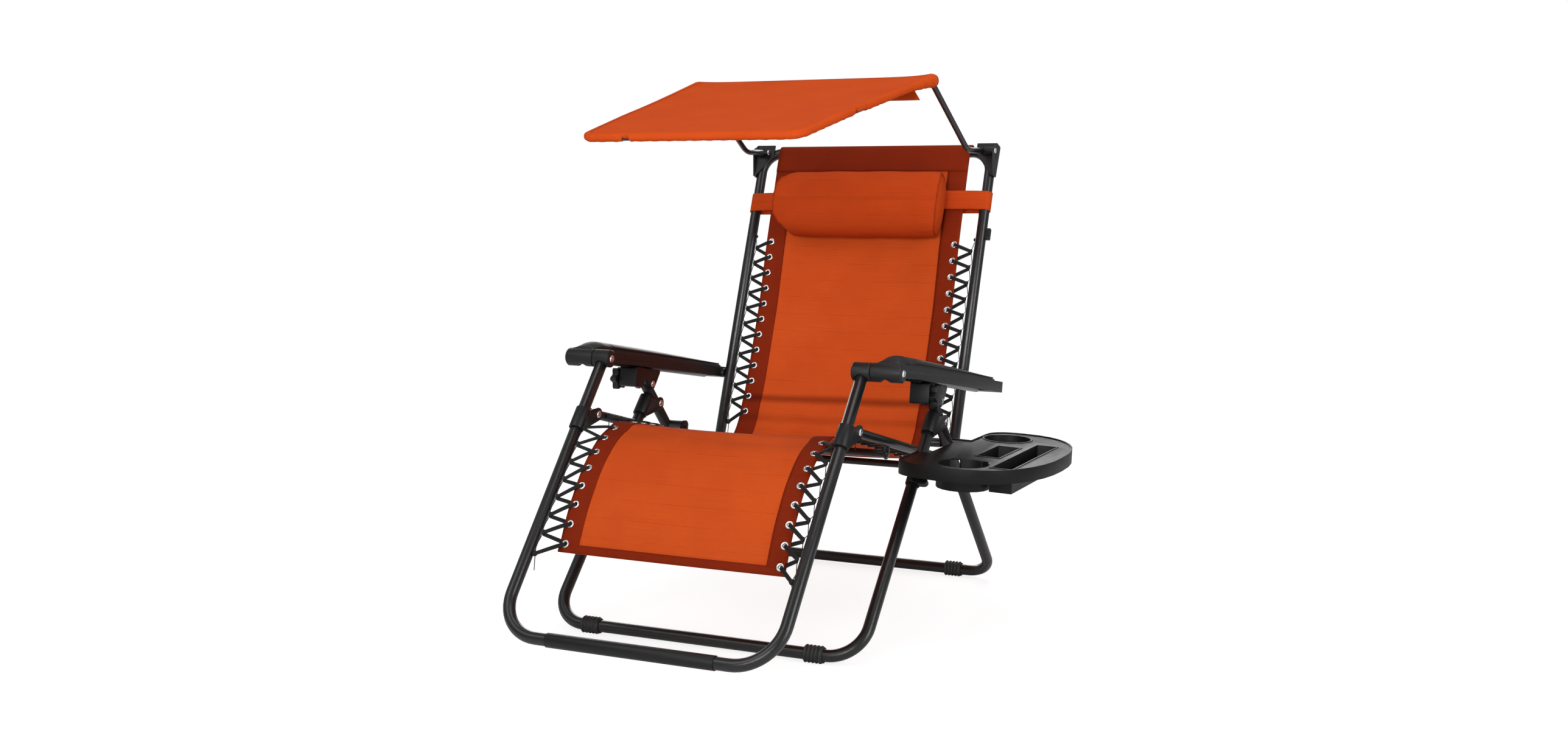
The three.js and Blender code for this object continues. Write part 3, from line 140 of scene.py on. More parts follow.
# The canopy hem's notches for the brackets, as shares of its length
HEM_NOTCHES = ((0.4145, 0.4225), (0.773, 0.804))
END_EASE = 0.8
WELD_GAP = 0.02
FLAT_ANGLE = 1.5
EDGE_ANGLE = 32
ROUND_SIDES = 28
SIDES = (("left", -1), ("right", 1))


# The side plane: a point is (y, z) and a direction is a unit (y, z).
def leaning(angle):
    return (math.sin(angle), math.cos(angle))


def along(point, direction, far, across=0.0):
    """A point far along a direction and some way behind it."""
    return (
        point[0] + direction[0] * far + direction[1] * across,
        point[1] + direction[1] * far - direction[0] * across,
    )


def towards(a, b):
    length = math.dist(a, b)
    return ((b[0] - a[0]) / length, (b[1] - a[1]) / length)


leg_dir = leaning(LEG_LEAN)
arm_pivot = along(LEG_BAR, leg_dir, LEG_LENGTH)
leg_bracket = along(LEG_BAR, leg_dir, LEG_BRACKET_AT)
knee_pivot = along(leg_bracket, leg_dir, EAR_RISE, EAR_REACH)
front_dir = leaning(FRONT_LEAN)
collar = along(FRONT_BAR, front_dir, FRONT_COLLAR_AT)
fold_pivot = along(collar, front_dir, EAR_RISE, EAR_REACH)
rear_dir = towards(REAR_BAR, fold_pivot)
lock_pivot = along(fold_pivot, rear_dir, LOCK_ABOVE_FOLD)
back_dir = leaning(BACK_LEAN)
hip_pivot = along(BACK_BRACKET, back_dir, BACK_EAR_RISE, -EAR_REACH)
back_top = along(BACK_BRACKET, back_dir, BACK_LENGTH)
rail_dir = towards(knee_pivot, hip_pivot)
rail_length = math.dist(knee_pivot, hip_pivot)

joints = {joint["name"]: joint for joint in frame["joints"]}
fold_at = Vector(joints["base_fold"]["pos_m"]) * 1000
SHIFT = Vector((fold_at.x, fold_at.y - fold_pivot[0], fold_at.z - fold_pivot[1]))


def spot(x, point):
    """A point of the part's frame, in millimetres, from an x and a point of the side plane."""
    return Vector((x, *point)) + SHIFT


def at(x, point):
    return spot(x, point) / 1000


def on_back(down, forward):
    return along(back_top, back_dir, -down, -forward)


def on_rail(far, down=0.0):
    return along(knee_pivot, rail_dir, far, down)


def smooth_line(points, step):
    """Evenly spaced points on a Catmull-Rom curve through control points."""
    ends = [points[0], *points, points[-1]]
    dense = []
    for i in range(1, len(ends) - 2):
        a, b, c, d = (Vector(p) for p in ends[i - 1 : i + 3])
        for k in range(24):
            t = k / 24
            turn = 2 * a - 5 * b + 4 * c - d + (3 * b - 3 * c + d - a) * t
            dense.append(b + (c - a + turn * t) * (t / 2))
    dense.append(Vector(points[-1]))
    return even_line(dense, step)


def reaches(points):
    """How far along a line of points each of them is."""
    far = [0.0]
    for a, b in zip(points, points[1:]):
        far.append(far[-1] + math.dist(a, b))
    return far


def run_at(points, i):
    """The direction of a line of points at one of them."""
    return (points[min(i + 1, len(points) - 1)] - points[max(i - 1, 0)]).normalized()


def even_line(points, step):
    whole = reaches(points)[-1]
    count = max(2, round(whole / step))
    return [point_on(points, whole * i / count) for i in range(count + 1)]


def point_on(points, far):
    """The point a given way along a line of points."""
    for a, b in zip(points, points[1:]):
        a, b = Vector(a), Vector(b)
        way = (b - a).length
        if far <= way or b == Vector(points[-1]):
            return a + (b - a) * (far / way if way else 0)
        far -= way
    return Vector(points[-1])


def bent(points, radii, steps=14):
    """A line of 3-D points whose inner corners are rounded to given radii."""
    path = [points[0].copy()]
    for before, corner, after, radius in zip(points, points[1:], points[2:], radii):
        a = (before - corner).normalized()
        b = (after - corner).normalized()
        half = a.angle(b) / 2
        centre = corner + (a + b).normalized() * (radius / math.sin(half))
        start = corner + a * (radius / math.tan(half)) - centre
        end = corner + b * (radius / math.tan(half)) - centre
        axis = start.cross(end).normalized()
        angle = start.angle(end)
        for k in range(steps + 1):
            path.append(Quaternion(axis, angle * k / steps) @ start + centre)
    path.append(points[-1].copy())
    return path


# Meshes
def placed(name, data):
    made = bpy.data.objects.new(name, data)
    bpy.context.scene.collection.objects.link(made)
    return made


def piece(name, verts, faces, finish, body, uvs=None):
    """A new mesh object that rides on a body. Its finish is a material and the name of its slot."""
    material, slot = finish
    mesh = bpy.data.meshes.new(name)
    mesh.from_pydata([tuple(v) for v in verts], [], faces)
    mesh.validate()
    made = placed(name, mesh)
    if uvs is not None:
        layer = mesh.uv_layers.new(name="cut")
        for loop in mesh.loops:
            layer.data[loop.index].uv = uvs[loop.vertex_index]
    turned = bmesh.new()
    turned.from_mesh(mesh)
    bmesh.ops.recalc_face_normals(turned, faces=turned.faces)
    turned.to_mesh(mesh)
    turned.free()
    for polygon in mesh.polygons:
        polygon.use_smooth = True
    mesh.materials.append(material)
    if body:
        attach(made, body)
    return made


def ring(centre, side, other, radius, sides):
    turns = [2 * math.pi * k / sides for k in range(sides)]
    return [centre + (side * math.cos(a) + other * math.sin(a)) * radius for a in turns]


def skin(rings, sides):
    """The faces between rings of vertices, and then the two closed ends."""
    faces = []
    for i in range(rings - 1):
        for k in range(sides):
            n = (k + 1) % sides
            faces.append((i * sides + k, i * sides + n, (i + 1) * sides + n, (i + 1) * sides + k))
    faces.append(tuple(range(sides)))
    faces.append(tuple((rings - 1) * sides + k for k in range(sides)))
    return faces


def tube_parts(path, radii, sides):
    """Vertices and faces of a round tube along a line of 3-D points, with closed ends."""
    tangents = [run_at(path, i) for i in range(len(path))]
    side = tangents[0].orthogonal().normalized()
    verts = []
    for i, (point, tangent) in enumerate(zip(path, tangents)):
        if i:
            side = tangents[i - 1].rotation_difference(tangent) @ side
        side = (side - tangent * side.dot(tangent)).normalized()
        verts += ring(point, side, tangent.cross(side), radii[i], sides)
    return verts, skin(len(path), sides)


def lathe_parts(centre, axis, outline, sides):
    """A turned shape: outline is (along the axis, radius) in metres, closed at both ends."""
    side = axis.orthogonal().normalized()
    verts = []
    for far, radius in outline:
        verts += ring(centre + axis * far, side, axis.cross(side), radius, sides)
    return verts, skin(len(outline), sides)


def merged(parts):
    """Several sets of vertices and faces as one."""
    verts, faces = [], []
    for more_verts, more_faces in parts:
        start = len(verts)
        verts += more_verts
        faces += [tuple(i + start for i in face) for face in more_faces]
    return verts, faces


def metres(path):
    return [Vector(p) / 1000 for p in path]


def strand(points, radius, sides=8):
    return tube_parts(metres(points), [radius / 1000] * len(points), sides)


def frame_tube(name, body, node, corners, bend):
    """A frame tube in its solid's place, bent at the corners of its (x, point) line."""
    points = metres(bent([spot(x, p) for x, p in corners], [bend, bend]))
    r = TUBE_R / 1000
    ease = END_EASE / 1000
    first = points[0] + (points[1] - points[0]).normalized() * ease
    last = points[-1] + (points[-2] - points[-1]).normalized() * ease
    radii = [r - ease, r, *[r] * (len(points) - 2), r, r - ease]
    points = [points[0], first, *points[1:-1], last, points[-1]]
    made = piece(name, *tube_parts(points, radii, ROUND_SIDES), steel, body)
    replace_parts(made, node)


def refined(node, finish, body, bevel, reshape=None):
    """A copy of a solid with its flat faces rejoined and its edges eased, in the solid's place."""
    material, slot = finish
    made = frame["nodes"][node].copy()
    made.data = made.data.copy()
    made.name = node + "_finished"
    for key in list(made.keys()):
        del made[key]
    made.parent = None
    made.hide_render = False
    made.hide_viewport = False
    bpy.context.scene.collection.objects.link(made)
    mesh = made.data
    shape = bmesh.new()
    shape.from_mesh(mesh)
    bmesh.ops.remove_doubles(shape, verts=shape.verts, dist=WELD_GAP / 1000)
    if reshape:
        for vert in shape.verts:
            vert.co = reshape(vert.co)
    bmesh.ops.dissolve_limit(
        shape, angle_limit=math.radians(FLAT_ANGLE), use_dissolve_boundaries=False,
        verts=shape.verts, edges=shape.edges,
    )
    inner = [e for e in shape.edges if len(e.link_faces) == 2]
    bmesh.ops.bevel(
        shape, geom=[e for e in inner if e.calc_face_angle(0) > math.radians(EDGE_ANGLE)],
        offset=bevel / 1000, offset_type="OFFSET", segments=3, profile=0.5, affect="EDGES",
        clamp_overlap=True,
    )
    for face in shape.faces:
        face.smooth = True
    for edge in shape.edges:
        if len(edge.link_faces) == 2:
            edge.smooth = edge.calc_face_angle(0) < math.radians(EDGE_ANGLE + 6)
    shape.to_mesh(mesh)
    shape.free()
    mesh.materials.clear()
    mesh.materials.append(material)
    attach(made, body)
    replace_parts(made, node)


def cloth(name, rows, cuts, thick, finish, body):
    """A closed sheet from rows of points, with its flat cut as UVs in metres."""
    high = len(rows)
    wide = len(rows[0])
    normals = []
    for i in range(high):
        for j in range(wide):
            up = rows[min(i + 1, high - 1)][j] - rows[max(i - 1, 0)][j]
            out = rows[i][min(j + 1, wide - 1)] - rows[i][max(j - 1, 0)]
            normals.append(out.cross(up).normalized())
    flat = [p for row in rows for p in row]
    count = len(flat)
    verts = [p + n * (thick / 2000) for p, n in zip(flat, normals)]
    verts += [p - n * (thick / 2000) for p, n in zip(flat, normals)]
    faces = []
    for i in range(high - 1):
        for j in range(wide - 1):
            a = i * wide + j
            faces.append((a, a + 1, a + wide + 1, a + wide))
            faces.append((count + a, count + a + wide, count + a + wide + 1, count + a + 1))
    rim = list(range(wide))
    rim += [i * wide + wide - 1 for i in range(1, high)]
    rim += [(high - 1) * wide + j for j in range(wide - 2, -1, -1)]
    rim += [i * wide for i in range(high - 2, 0, -1)]
    for a, b in zip(rim, rim[1:] + rim[:1]):
        faces.append((a, count + a, count + b, b))
    return piece(name, verts, faces, finish, body, list(cuts) * 2)


# Shader maths
class Wire:
    """A shader value or socket that takes part in sums."""

    def __init__(self, paint, socket):
        self.paint = paint
        self.socket = socket

    def maths(self, operation, *others):
        values = dict(enumerate((self, *others)))
        return self.paint.node("ShaderNodeMath", values, {"operation": operation})

    __add__ = partialmethod(maths, "ADD")
    __sub__ = partialmethod(maths, "SUBTRACT")
    __mul__ = partialmethod(maths, "MULTIPLY")
    __truediv__ = partialmethod(maths, "DIVIDE")
    sine = partialmethod(maths, "SINE")
    size = partialmethod(maths, "ABSOLUTE")
    cycle = partialmethod(maths, "FRACT")
    power = partialmethod(maths, "POWER")
    least = partialmethod(maths, "MINIMUM")
    most = partialmethod(maths, "MAXIMUM")

    def __rsub__(self, other):
        return (self * -1) + other

    def ramp(self, low, high):
        """0 below low, 1 above high, smooth between."""
        settings = {"interpolation_type": "SMOOTHSTEP"}
        return self.paint.node("ShaderNodeMapRange", {0: self, 1: low, 2: high}, settings)


class Paint:
    """The nodes of a material or of the world."""

    def __init__(self, owner):
        self.owner = owner
        owner.use_nodes = True
        self.tree = owner.node_tree
        self.tree.nodes.clear()

    def node(self, kind, values=None, settings=None, out=0):
        made = self.tree.nodes.new(kind)
        for name, value in (settings or {}).items():
            setattr(made, name, value)
        for name, value in (values or {}).items():
            self.feed(made.inputs[name], value)
        return Wire(self, made.outputs[out])

    def feed(self, socket, value):
        if isinstance(value, Wire):
            self.tree.links.new(value.socket, socket)
        elif isinstance(value, tuple) and len(value) == 3 and len(socket.default_value) == 4:
            socket.default_value = (*value, 1)
        else:
            socket.default_value = value

    def place(self, kind="Object"):
        """Coordinates in metres: the object's own, or the cloth's cut from its UVs."""
        return self.node("ShaderNodeTexCoord", out=kind)

    def split(self, vector):
        parts = self.tree.nodes.new("ShaderNodeSeparateXYZ")
        self.feed(parts.inputs[0], vector)
        return [Wire(self, socket) for socket in parts.outputs]

    def noise(self, vector, scale, detail=2.0, rough=0.5):
        values = {"Vector": vector, "Scale": scale, "Detail": detail, "Roughness": rough}
        return self.node("ShaderNodeTexNoise", values)

    def cells(self, vector, scale):
        return self.node("ShaderNodeTexVoronoi", {"Vector": vector, "Scale": scale})

    def mix(self, factor, a, b):
        return self.node("ShaderNodeMix", {0: factor, 6: a, 7: b}, {"data_type": "RGBA"}, 2)

    def bump(self, height, distance, strength):
        values = {"Height": height, "Distance": distance, "Strength": strength}
        return self.node("ShaderNodeBump", values)

    def close(self, shader, kind="ShaderNodeOutputMaterial"):
        out = self.tree.nodes.new(kind)
        self.feed(out.inputs["Surface"], shader)
        return self.owner

    def finish(self, **values):
        values = {name.replace("_", " "): value for name, value in values.items()}
        return self.close(self.node("ShaderNodeBsdfPrincipled", values))


def coat(name):
    return Paint(bpy.data.materials.new(name))


def powder_coat():
    """Semi-gloss black powder coat: a fine orange peel with pale specks."""
    paint = coat("black_powder_coat")
    spot = paint.place()
    specks = paint.noise(spot, 800, 1.0, 0.4).ramp(0.62, 0.74)
    cloud = paint.noise(spot, 30, 3.0)
    colour = paint.mix(cloud, (0.0045, 0.0045, 0.005), (0.0075, 0.0075, 0.0082))
    colour = paint.mix(specks * 0.5, colour, (0.05, 0.05, 0.053))
    peel = paint.noise(spot, 420, 2.0)
    return paint.finish(
        Base_Color=colour,
        Roughness=paint.noise(spot, 60, 2.0) * 0.1 + 0.25 - specks * 0.06,
        Normal=paint.bump(peel, 0.0002, 0.7),
        Specular_IOR_Level=0.5,
    )


def moulded_plastic(slot, dark, pale, rough, grain, shine):
    """Moulded black plastic with a fine grain and uneven gloss: a finish, from greys in 1/10000."""
    paint = coat(slot)
    spot = paint.place()
    cloud = paint.noise(spot, 22, 3.0)
    fine = paint.noise(spot, 1100, 2.0, 0.6)
    dark, pale = (tuple(value / 10000 for value in grey) for grey in (dark, pale))
    material = paint.finish(
        Base_Color=paint.mix(cloud, dark, pale),
        Roughness=paint.noise(spot, 90, 2.0) * 0.12 + rough,
        Normal=paint.bump(fine * 0.6 + paint.cells(spot, 950.0) * 0.4, 0.00022, grain),
        Specular_IOR_Level=shine,
    )
    return material, slot


def ribbed_rubber():
    paint = coat("black_rubber")
    spot = paint.place()
    dust = paint.noise(spot, 70, 4.0, 0.65).ramp(0.5, 0.8)
    return paint.finish(
        Base_Color=paint.mix(dust * 0.35, (0.011, 0.011, 0.011), (0.05, 0.048, 0.045)),
        Roughness=dust * 0.15 + 0.6,
        Normal=paint.bump(paint.noise(spot, 700, 2.0), 0.0002, 0.5),
    )


def bright_zinc():
    paint = coat("bright_zinc")
    spot = paint.place()
    streak = paint.noise(spot, 400, 3.0, 0.6)
    return paint.finish(
        Base_Color=paint.mix(streak, (0.55, 0.55, 0.57), (0.78, 0.78, 0.8)),
        Metallic=1.0,
        Roughness=streak * 0.14 + 0.2,
        Normal=paint.bump(streak, 0.0001, 0.3),
    )


def woven_mesh(name, slot, dark, pale, slub_gap=0.0, holes=(), shine=0.06, crease_shades=()):
    """A finish of coated yarn in a twill: dark gaps, lit yarn tops, and faint slub lines.

    Holes are (first, pitch, count) along the cloth, on both eyelet lines.
    The painted crease shades are (place, width, depth) along the cloth: bands of painted shade where it
    folds.
    """
    paint = coat(name)
    cut = paint.place("UV")
    u, v, _ = paint.split(cut)
    turns = math.pi / 0.0019
    warp = (u * turns).sine().size()
    weft = (v * turns).sine().size()
    twill = ((u - v) * (turns / 0.75)).sine() * 0.5 + 0.5
    yarn = warp.power(0.5) * weft.power(0.5) * (twill * 0.6 + 0.4)
    wide = paint.noise(cut, 9, 3.0)
    settings = {"operation": "MULTIPLY"}
    streaked = paint.node("ShaderNodeVectorMath", {0: cut, 1: (6, 700, 1)}, settings)
    thread = paint.noise(streaked, 1.0, 2.0, 0.6)
    colour = paint.mix((yarn * 0.8 + thread * 0.3).least(1.0), dark, pale)
    colour = paint.mix(wide.ramp(0.35, 0.7) * 0.16, colour, dark)
    if slub_gap:
        wobble = paint.noise(cut, 3.0, 1.0) * 0.02
        line = ((v / slub_gap + wobble).cycle() - 0.5).size().ramp(0.482, 0.496)
        broken = paint.noise(cut, 14, 2.0).ramp(0.38, 0.6)
        colour = paint.mix(line * broken * 0.6, colour, dark)
    # Painted shade: the cloth is darkened in soft bands where it folds.
    crease_shade_colour = tuple(part * 0.35 for part in dark)
    for place, wide, depth in crease_shades:
        wave = paint.noise(cut, 7, 1.0) * 0.012 + u * 0.02 - 0.006
        near = 1 - ((v + wave - place) / wide).size().least(1.0)
        colour = paint.mix(near.ramp(0.0, 1.0) * depth, colour, crease_shade_colour)
    open_at = None
    for first, step, count in holes:
        across = u.size() - EYELET_X / 1000
        index = ((v - first) / step).maths("ROUND").most(0.0).least(float(count - 1))
        down = v - first - index * step
        inside = (across * across + down * down).maths("LESS_THAN", (HOLE_R / 1000) ** 2)
        open_at = inside if open_at is None else open_at.most(inside)
    values = {} if open_at is None else {"Alpha": 1 - open_at}
    material = paint.finish(
        Base_Color=colour,
        Roughness=0.8,
        Normal=paint.bump(yarn, 0.0004, 0.6),
        Specular_IOR_Level=shine,
        **values,
    )
    return material, slot


def elastic():
    """Black braided elastic: a fine criss-cross sheath."""
    paint = coat("black_elastic")
    spot = paint.place()
    braid = paint.cells(spot, 1400.0)
    return paint.finish(
        Base_Color=paint.mix(braid, (0.003, 0.003, 0.003), (0.011, 0.011, 0.011)),
        Roughness=0.66,
        Specular_IOR_Level=0.3,
        Normal=paint.bump(braid, 0.0002, 0.5),
    )


# A finish is a material and the name of its slot.
steel = powder_coat(), "frame_steel"
bracket = moulded_plastic("bracket_plastic", (42, 42, 45), (66, 66, 70), 0.36, 0.35, 0.32)
arm_plastic = moulded_plastic("arm_plastic", (46, 46, 49), (72, 72, 76), 0.4, 0.5, 0.34)
tray_plastic = moulded_plastic("tray_plastic", (22, 22, 23), (36, 36, 37), 0.42, 1.0, 0.2)
rubber = ribbed_rubber(), "foot_rubber"
zinc = bright_zinc(), "rivet_steel"
canopy_orange = woven_mesh(
    "canopy_mesh", "orange_mesh", (0.32, 0.028, 0.005), (0.71, 0.1, 0.014), shine=0.02
)
pillow_orange = woven_mesh(
    "pillow_mesh", "pillow_fabric", (0.27, 0.022, 0.004), (0.66, 0.083, 0.01), 0.035
)
cord_black = elastic(), "elastic_cord"


# Camera, lights and floor
CAMERA_AT = (1557.1, -3015.9, 929.8)
CAMERA_DOWN = 6.5
CAMERA_ROUND = 25.36
CAMERA_LENS = 38.07
SKY_LIGHT = 0.33
FLOOR_HALF = 14
# Name, place, aim, size, power and spread
LAMPS = (
    ("key", (-1.6, -2.6, 3.2), (0, 0, 0.5), (2.4, 1.6), 29, 180),
    ("top", (0.2, 0.3, 3.6), (0, 0.1, 0.5), (2.6, 2.2), 40, 180),
    ("front", (0.4, -3.4, 1.35), (0, 0.45, 1.05), (2.2, 1.1), 13, 64),
    ("right", (3.0, -1.0, 1.6), (0, 0, 0.5), (1.0, 2.4), 46, 180),
    ("rear", (-1.7, 3.1, 1.35), (0, 0, 0.5), (2.8, 1.3), 52, 180),
)


def camera():
    data = bpy.data.cameras.new("camera")
    data.lens = CAMERA_LENS
    data.sensor_width = 36
    made = placed("camera", data)
    made.location = (Vector(CAMERA_AT) + SHIFT) / 1000
    made.rotation_euler = (math.radians(90 - CAMERA_DOWN), 0, math.radians(CAMERA_ROUND))
    bpy.context.scene.camera = made


def area_lamp(name, place, aim, size, power, spread):
    data = bpy.data.lights.new(name, "AREA")
    data.shape = "RECTANGLE"
    data.size, data.size_y = size
    data.energy = power
    data.spread = math.radians(spread)
    made = placed(name, data)
    made.location = place
    made.rotation_euler = (Vector(aim) - Vector(place)).to_track_quat("-Z", "Y").to_euler()
    made.visible_camera = False


def studio():
    """A white room: soft lamps above, in front and at both sides, and a pale floor with a shadow."""
    world = Paint(bpy.data.worlds.new("studio"))
    strength = world.node("ShaderNodeLightPath", out="Is Camera Ray") * (1 - SKY_LIGHT) + SKY_LIGHT
    sky = world.node("ShaderNodeBackground", {"Color": (1, 1, 1), "Strength": strength})
    bpy.context.scene.world = world.close(sky, "ShaderNodeOutputWorld")
    for lamp in LAMPS:
        area_lamp(*lamp)
    floor = bpy.data.meshes.new("floor")
    corners = [(FLOOR_HALF * x, FLOOR_HALF * y, 0) for x, y in ((-1, -1), (1, -1), (1, 1), (-1, 1))]
    floor.from_pydata(corners, [], [(0, 1, 2, 3)])
    paint = coat("pale_floor")
    matt = paint.node("ShaderNodeBsdfDiffuse", {"Color": (0.88, 0.88, 0.88)})
    x, y, _ = paint.split(paint.place())
    far = (x * x + y * y).power(0.5).ramp(1.2, 2.6)
    glow = paint.node("ShaderNodeEmission", {"Color": (1, 1, 1), "Strength": 1.3 - far * 0.28})
    seen = paint.node("ShaderNodeLightPath", out="Is Camera Ray") * (far * 0.4 + 0.6)
    floor.materials.append(paint.close(paint.node("ShaderNodeMixShader", {0: seen, 1: matt, 2: glow})))
    placed("floor", floor)
    bpy.context.scene.view_settings.view_transform = "Standard"


camera()
studio()


# Frame tubes
def u_line(top, bottom, half):
    return [(-half, top), (-half, bottom), (half, bottom), (half, top)]


leg_top = along(LEG_BAR, leg_dir, LEG_LENGTH - LEG_TOP_SHORT)
front_top = along(collar, front_dir, FRONT_TUBE_PAST_COLLAR)
rear_top = along(lock_pivot, rear_dir, REAR_TOP_PAST_LOCK)
back_end = along(BACK_BRACKET, back_dir, -BACK_TAIL)
frame_tube("leg_tube", "leg", "leg_frame", u_line(leg_top, LEG_BAR, LEG_HALF), LEG_BEND)
frame_tube(
    "front_base_tube", "base_front", "base_front_frame",
    u_line(front_top, FRONT_BAR, BASE_HALF), FRONT_BEND,
)
frame_tube(
    "rear_base_tube", "base_rear", "base_rear_frame", u_line(rear_top, REAR_BAR, BASE_HALF), REAR_BEND
)
frame_tube("back_tube", "back", "back_frame", u_line(back_end, back_top, BACK_HALF), BACK_BEND)


# Pieces that keep their solid's shape
def deeper_lobes(side):
    """Draws a knob's lobes out from its axis, and leaves its stem."""
    axis = Vector(joints["knob_turn_" + side]["pos_m"])

    def reshape(vert):
        away = Vector((0, vert.y - axis.y, vert.z - axis.z))
        if away.length < KNOB_STEM_R / 1000:
            return vert
        return vert + away.normalized() * (0.001 + 0.25 * (away.length - KNOB_PLATE_R / 1000))

    return reshape


for side, _ in SIDES:
    for node, finish, body, bevel in (
        ("seat_rail_", steel, "seat", 0.4),
        ("leg_bracket_", bracket, "leg", 1.0),
        ("fold_collar_", bracket, "base_front", 1.0),
        ("back_bracket_", bracket, "back", 1.0),
        ("corner_bracket_", bracket, "back", 0.8),
        ("armrest_cap_", arm_plastic, "leg", 0.5),
        ("armrest_", arm_plastic, "arms", 1.0),
        ("armrest_rod_", steel, "arms", 0.4),
        ("lock_body_", bracket, "lock", 1.2),
    ):
        refined(node + side, finish, body, bevel)
    refined("lock_knob_" + side, bracket, "knob_" + side, 1.8, deeper_lobes(side))
for node, finish, body, bevel in (
    ("seat_cross_bar_front", steel, "seat", 0.5),
    ("seat_cross_bar_rear", steel, "seat", 0.5),
    ("leg_bar_grip", bracket, "leg", 0.5),
    ("back_tube_clip", bracket, "back", 1.0),
    ("side_tray", tray_plastic, "tray", 0.7),
    ("tray_clamp", bracket, "base_front", 0.8),
):
    refined(node, finish, body, bevel)


def armrest_crown(side, sign):
    """The armrest pad's crowned top, highest over the bolt's end and level at the rear."""
    arm_dir = towards(*ARM_LINE)
    rows, cuts = [], []
    for i in range(61):
        far = PAD_FRONT + (PAD_REAR - PAD_FRONT) * i / 60
        share = max(0.0, far) / PAD_REAR
        under = PAD_LOW if far < 46 else PAD_LOW + 4 if far < 86 else PAD_TOP - 0.2
        rise = min(1.0, (far - PAD_FRONT) / 48)
        top = PAD_TOP + CROWN_RISE * (1 - share**2.2)
        top = PAD_LOW + (top - PAD_LOW) * (rise * rise * (3 - 2 * rise)) ** 0.55
        row = []
        for j in range(21):
            t = 2 * j / 20 - 1
            x = sign * (PAD_X + PAD_HALF * t)
            high = under + max(0.0, top - under) * (1 - abs(t) ** 2.6) ** 0.6
            row.append(at(x, along(arm_pivot, arm_dir, far, -high)))
            cuts.append((x / 1000, far / 1000))
        rows.append(row)
    if sign < 0:
        rows = [row[::-1] for row in rows]
    cloth("armrest_crown_" + side, rows, cuts, 2.0, arm_plastic, "arms")


def domed_rivet(node, body, head_r):
    """A pin with a domed, dimpled head at each end, where the solid has its flat ones."""
    low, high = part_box(node)
    half = (high.x - low.x) / 2
    head = 0.0026
    r = head_r / 1000
    outline = [(half - head, 0.004), (half - head, r)]
    for k in range(6):
        a = math.pi / 2 * k / 5
        outline.append((half - head + head * math.sin(a), r * (0.55 + 0.45 * math.cos(a))))
    outline += [(half - 0.0004, r * 0.3), (half - 0.0009, r * 0.12)]
    outline = [(-far, radius) for far, radius in reversed(outline)] + outline
    verts, faces = lathe_parts((low + high) / 2, Vector((1, 0, 0)), outline, ROUND_SIDES)
    made = piece(node + "_domed", verts, faces, zinc, body)
    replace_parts(made, node)


def ribbed_foot(node, bar, body):
    """Five round rubber ribs on a sleeve, with the underside flat on the floor."""
    low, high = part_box(node)
    centre = at(0, bar)
    centre.x = (low.x + high.x) / 2
    half = (high.x - low.x) / 2
    pitch = 2 * half / 5
    bore = 0.0128
    outer = 0.0158
    outline = [(-half, bore), (-half, outer)]
    for i in range(5):
        start = -half + i * pitch
        for share, rise in ((0.05, 0.0008), (0.15, 0.002), (0.3, 0.0026), (0.45, 0.002), (0.6, 0.0006)):
            outline.append((start + pitch * share + 0.0004, outer + rise))
        outline.append((start + pitch * 0.8, outer - 0.0002))
    outline += [(half, outer - 0.0002), (half, bore)]
    verts, faces = lathe_parts(centre, Vector((1, 0, 0)), outline, 40)
    verts = [Vector((v.x, v.y, max(v.z, low.z))) for v in verts]
    made = piece(node + "_ribbed", verts, faces, rubber, body)
    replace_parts(made, node)


for side, sign in SIDES:
    armrest_crown(side, sign)
    for node, body, head_r in (
        ("knee_rivet_", "leg", 7.5),
        ("fold_rivet_", "base_rear", 7.5),
        ("hip_rivet_", "back", 7.5),
        ("armrest_bolt_", "leg", 7.5),
        ("lock_rivet_", "base_rear", 7.5),
        ("canopy_rivet_", "back", 6.5),
    ):
        domed_rivet(node + side, body, head_r)
    ribbed_foot("foot_front_" + side, FRONT_BAR, "base_front")
    ribbed_foot("foot_rear_" + side, REAR_BAR, "base_rear")


# Sling
def sling_profile():
    """The cloth's side line from behind the top bar, down the back, over the seat, to the leg end."""
    lift = TUBE_R + 0.3 + CLOTH_T / 2 + 0.5
    line = []
    wrap = math.radians(215)
    for i in range(13):
        a = wrap * (1 - i / 12)
        line.append(on_back(-lift * math.sin(a), lift * math.cos(a)))
    for share, rise in (
        (0.06, 1.12), (0.12, 1.02), (0.2, 0.86), (0.3, 0.66), (0.4, 0.2), (0.5, -0.28),
        (0.62, -0.3), (0.72, -0.28), (0.79, -0.1), (0.84, 0.3),
    ):
        line.append(on_back(share * BACK_LENGTH, rise * TUBE_R))
    line.append((545.0, 365.0))
    line.append((522.0, 337.0))
    for share, drop in (
        (1.0, 0.2), (0.95, 0.36), (0.89, 0.5), (0.82, 0.54), (0.7, 0.44), (0.58, 0.37), (0.44, 0.36),
        (0.3, 0.36), (0.17, 0.46), (0.08, 0.56), (0.03, 0.68),
    ):
        line.append(on_rail(share * rail_length, drop * 34 - RAIL_R))
    line += [
        (-42.0, 428.8), (-56.9, 422.5), (-78.0, 415.5), (-99.5, 405.4), (-133.0, 380.7), (-164.8, 349.9),
        (-190.1, 317.1), (-213.3, 283.2), (-232.8, 248.2), (-249.5, 212.9), (-257.5, 198.0),
    ]
    return line


sling_line = smooth_line(sling_profile(), 6.0)
last_at = len(sling_line) - 1
sling_runs = [run_at(sling_line, i) for i in range(last_at + 1)]
sling_normals = [Vector((run.y, -run.x)) for run in sling_runs]
sling_reach = reaches(sling_line)


def nearest_on_sling(point):
    """The index on the sling's line nearest to a point of the side plane."""
    return min(range(len(sling_line)), key=lambda i: (sling_line[i] - Vector(point)).length)


